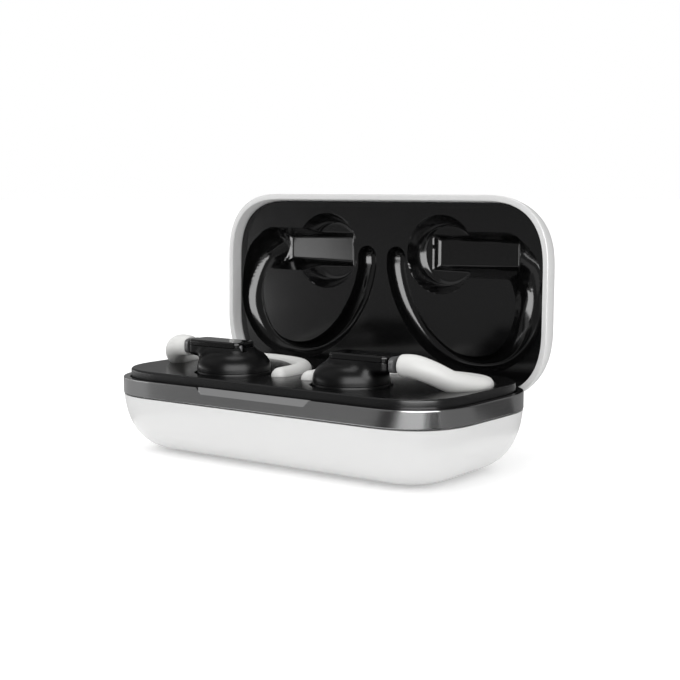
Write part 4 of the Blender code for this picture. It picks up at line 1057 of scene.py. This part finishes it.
root = BELL_FOOT - 1.2
arc = np.linspace(0, math.pi / 2, 12)
flare = np.column_stack((2.9 + 2.3 * np.sin(arc), -6.2 + 4.3 * (1 - np.cos(arc))))
bore_profile = [(3.0, 0.0), (3.0, -4.0), (2.2, -4.5), (2.0, -4.7), (2.0, -6.0), (2.15, -6.2), (2.6, -6.2)]
skirt_profile = [(5.2, -1.2), (5.1, -0.7), (4.8, -0.6), (4.0, -0.7), (3.8, -0.5), (3.75, 0.0)]
tip_profile = np.vstack((bore_profile, flare, skirt_profile)) + (0.0, root)
tip_shape = skin(revolved(tip_profile, NOZZLE_X, NOZZLE_Y, 72), closed=True)
rubber = moulded("tip_silicone", (0.010, 0.010, 0.011), (0.018, 0.018, 0.019), 0.48, 0.14, 0.12, 0.008)
for side, name in ((1, "right"), (-1, "left")):
    piece = body(f"soft_tip_{name}", sided(tip_shape, side), 40.0)
    fit(piece, rubber, f"bud_{name}", "silicone", f"ear_tip_{name}")

woven = Finish("nozzle_gauze", Metallic=1.0)
grid = {"Vector": woven.in_millimetres(), "Scale": 4.0, "Randomness": 0.1}
holes = woven.add("TexVoronoi", {"feature": "F1"}, grid, "Distance")
# Round holes in the steel mesh, painted near black: painted shade for the dark inside of the nozzle behind
# the mesh. The same spots are also rougher and sunk by the relief.
shaded_hole = holes < 0.3
woven.feed(
    Base_Color=woven.blend(shaded_hole, (0.55, 0.55, 0.56), (0.01, 0.01, 0.01)),
    Roughness=0.3 + shaded_hole * 0.4,
    Normal=woven.relief(shaded_hole, 0.03, 0.6),
)
dress(woven, "nozzle_mesh_left", "nozzle_mesh_right")
driver_can = metal("driver_can", (0.50, 0.50, 0.52), 0.25, 0.003)
dress(driver_can, "speaker_driver_left", "speaker_driver_right")


# ------------------------------------------------------------------ floor, light and camera
# A flat pale studio floor under an even white sky, with one softbox overhead and one at the
# front left. Low cards and hanging panels, which only reflections pick up, stand in for the
# studio's dark corners and its bright panels.


def stage_sheet(name, points, faces):
    """An open sheet that belongs to the studio and not to the case."""
    mesh = bpy.data.meshes.new(name)
    mesh.from_pydata(points.tolist(), [], faces.tolist())
    made = bpy.data.objects.new(name, mesh)
    bpy.context.scene.collection.objects.link(made)
    return made


FLOOR_RADIUS, FLOOR_HEIGHT = 6.0, -0.0002
turn = np.linspace(0, 2 * math.pi, 96, endpoint=False)
disc = FLOOR_RADIUS * np.column_stack((np.cos(turn), np.sin(turn)))
disc = np.column_stack((disc, np.full(len(turn), FLOOR_HEIGHT)))
studio_floor = stage_sheet("studio_floor", disc, np.arange(len(turn))[None])
pale = Finish("pale_floor", Roughness=0.9, Specular_IOR_Level=0.1)
pale.feed(Base_Color=pale.blend(pale.cloud(0.01, 3.0), (0.93, 0.93, 0.93), (0.95, 0.95, 0.95)))
pale.shader.inputs["Emission Color"].default_value = (1.0, 1.0, 1.0, 1.0)
pale.shader.inputs["Emission Strength"].default_value = 0.2
studio_floor.data.materials.append(pale.material)


def reflected(name, points, faces, strength):
    """A glowing or dark surface of the studio that only polished surfaces pick up."""
    made = stage_sheet(name, points, faces)
    glow = bpy.data.materials.new(name)
    glow.use_nodes = True
    tree = glow.node_tree
    tree.nodes.remove(tree.nodes["Principled BSDF"])
    light = tree.nodes.new("ShaderNodeEmission")
    light.inputs["Strength"].default_value = strength
    tree.links.new(light.outputs["Emission"], tree.nodes["Material Output"].inputs["Surface"])
    made.data.materials.append(glow)
    made.visible_camera = False
    made.visible_diffuse = False
    made.visible_shadow = False
    made.visible_transmission = False
    made.visible_volume_scatter = False


def card(name, start, end, near, far, low, high, strength):
    """A strip between two headings from the front, from one distance and height to another."""
    turn = np.radians(np.linspace(start, end, 48))
    heading = np.column_stack((np.sin(turn), -np.cos(turn)))
    near_edge = np.column_stack((near * heading, np.full(len(turn), low)))
    far_edge = np.column_stack((far * heading, np.full(len(turn), high)))
    here = np.arange(len(turn) - 1)
    quads = np.stack((here, here + 1, len(turn) + here + 1, len(turn) + here), -1)
    reflected(name, np.vstack((near_edge, far_edge)), quads, strength)


# Heading from, heading to, nearest, farthest, height there and there, brightness
CARDS = (
    ("studio_ground", -180.0, 180.0, 0.062, 2.6, 0.0002, 0.0002, 0.30),
    ("studio_wall", -180.0, 180.0, 2.6, 2.2, 0.0002, 1.6, 0.24),
    ("studio_ceiling", -180.0, 180.0, 2.2, 0.02, 1.6, 2.2, 0.26),
    ("left_glow_card", -100.0, -48.0, 0.066, 0.4, 0.0010, 0.0010, 0.53),
    ("left_glow_panel", -100.0, -46.0, 0.4, 2.5, 0.0010, 0.10, 3.2),
    ("front_dark_card", 0.0, 16.0, 0.066, 1.6, 0.0006, 0.0006, 0.04),
    ("front_bright_card", 22.0, 57.0, 0.066, 1.6, 0.0006, 0.0006, 1.0),
    ("side_dark_card", 65.0, 77.0, 0.066, 1.6, 0.0006, 0.0006, 0.05),
    ("back_dark_card", 127.0, 137.0, 0.066, 1.6, 0.0006, 0.0006, 0.1),
    ("right_panel", 12.0, 82.0, 0.62, 0.62, 0.0, 0.50, 8.0),
    ("overhead_panel", -80.0, -20.0, 0.64, 0.25, 0.28, 0.62, 0.62),
    ("top_panel", -180.0, 180.0, 0.22, 0.02, 0.85, 0.85, 4.0),
)
for row in CARDS:
    card(*row)


def softbox(name, place, aim, size, power):
    """A rectangular light that faces its aim. It lights the piece but is not mirrored in it."""
    light = bpy.data.lights.new(name, "AREA")
    light.shape = "RECTANGLE"
    light.size, light.size_y = size
    light.energy = power
    made = bpy.data.objects.new(name, light)
    bpy.context.scene.collection.objects.link(made)
    made.location = place
    made.visible_camera = False
    made.visible_glossy = False
    away = np.array(place) - np.array(aim)
    made.rotation_euler = (
        math.atan2(math.hypot(away[0], away[1]), away[2]),
        0.0,
        math.atan2(away[1], away[0]) + math.pi / 2,
    )


softbox("overhead_softbox", (-0.1, -0.15, 0.8), (0.0, 0.0, 0.02), (0.4, 0.3), 0.9)
softbox("front_softbox", (-0.42, -0.5, 0.72), (0.0, 0.0, 0.03), (0.45, 0.35), 0.5)

scene = bpy.context.scene
sky = bpy.data.worlds.new("white_studio")
sky.use_nodes = True
sky.node_tree.nodes["Background"].inputs["Color"].default_value = (1.0, 1.0, 1.0, 1.0)
sky.node_tree.nodes["Background"].inputs["Strength"].default_value = 1.0
scene.world = sky
scene.view_settings.view_transform = "Standard"

lens = bpy.data.cameras.new("studio_camera")
lens.lens = 71.66
lens.sensor_width = 36.0
lens.clip_start = 0.01
camera = bpy.data.objects.new("studio_camera", lens)
scene.collection.objects.link(camera)
camera.location = (0.197155, -0.255384, 0.0652)
camera.rotation_euler = (math.radians(83.508), 0.0, math.radians(36.66))
scene.camera = camera
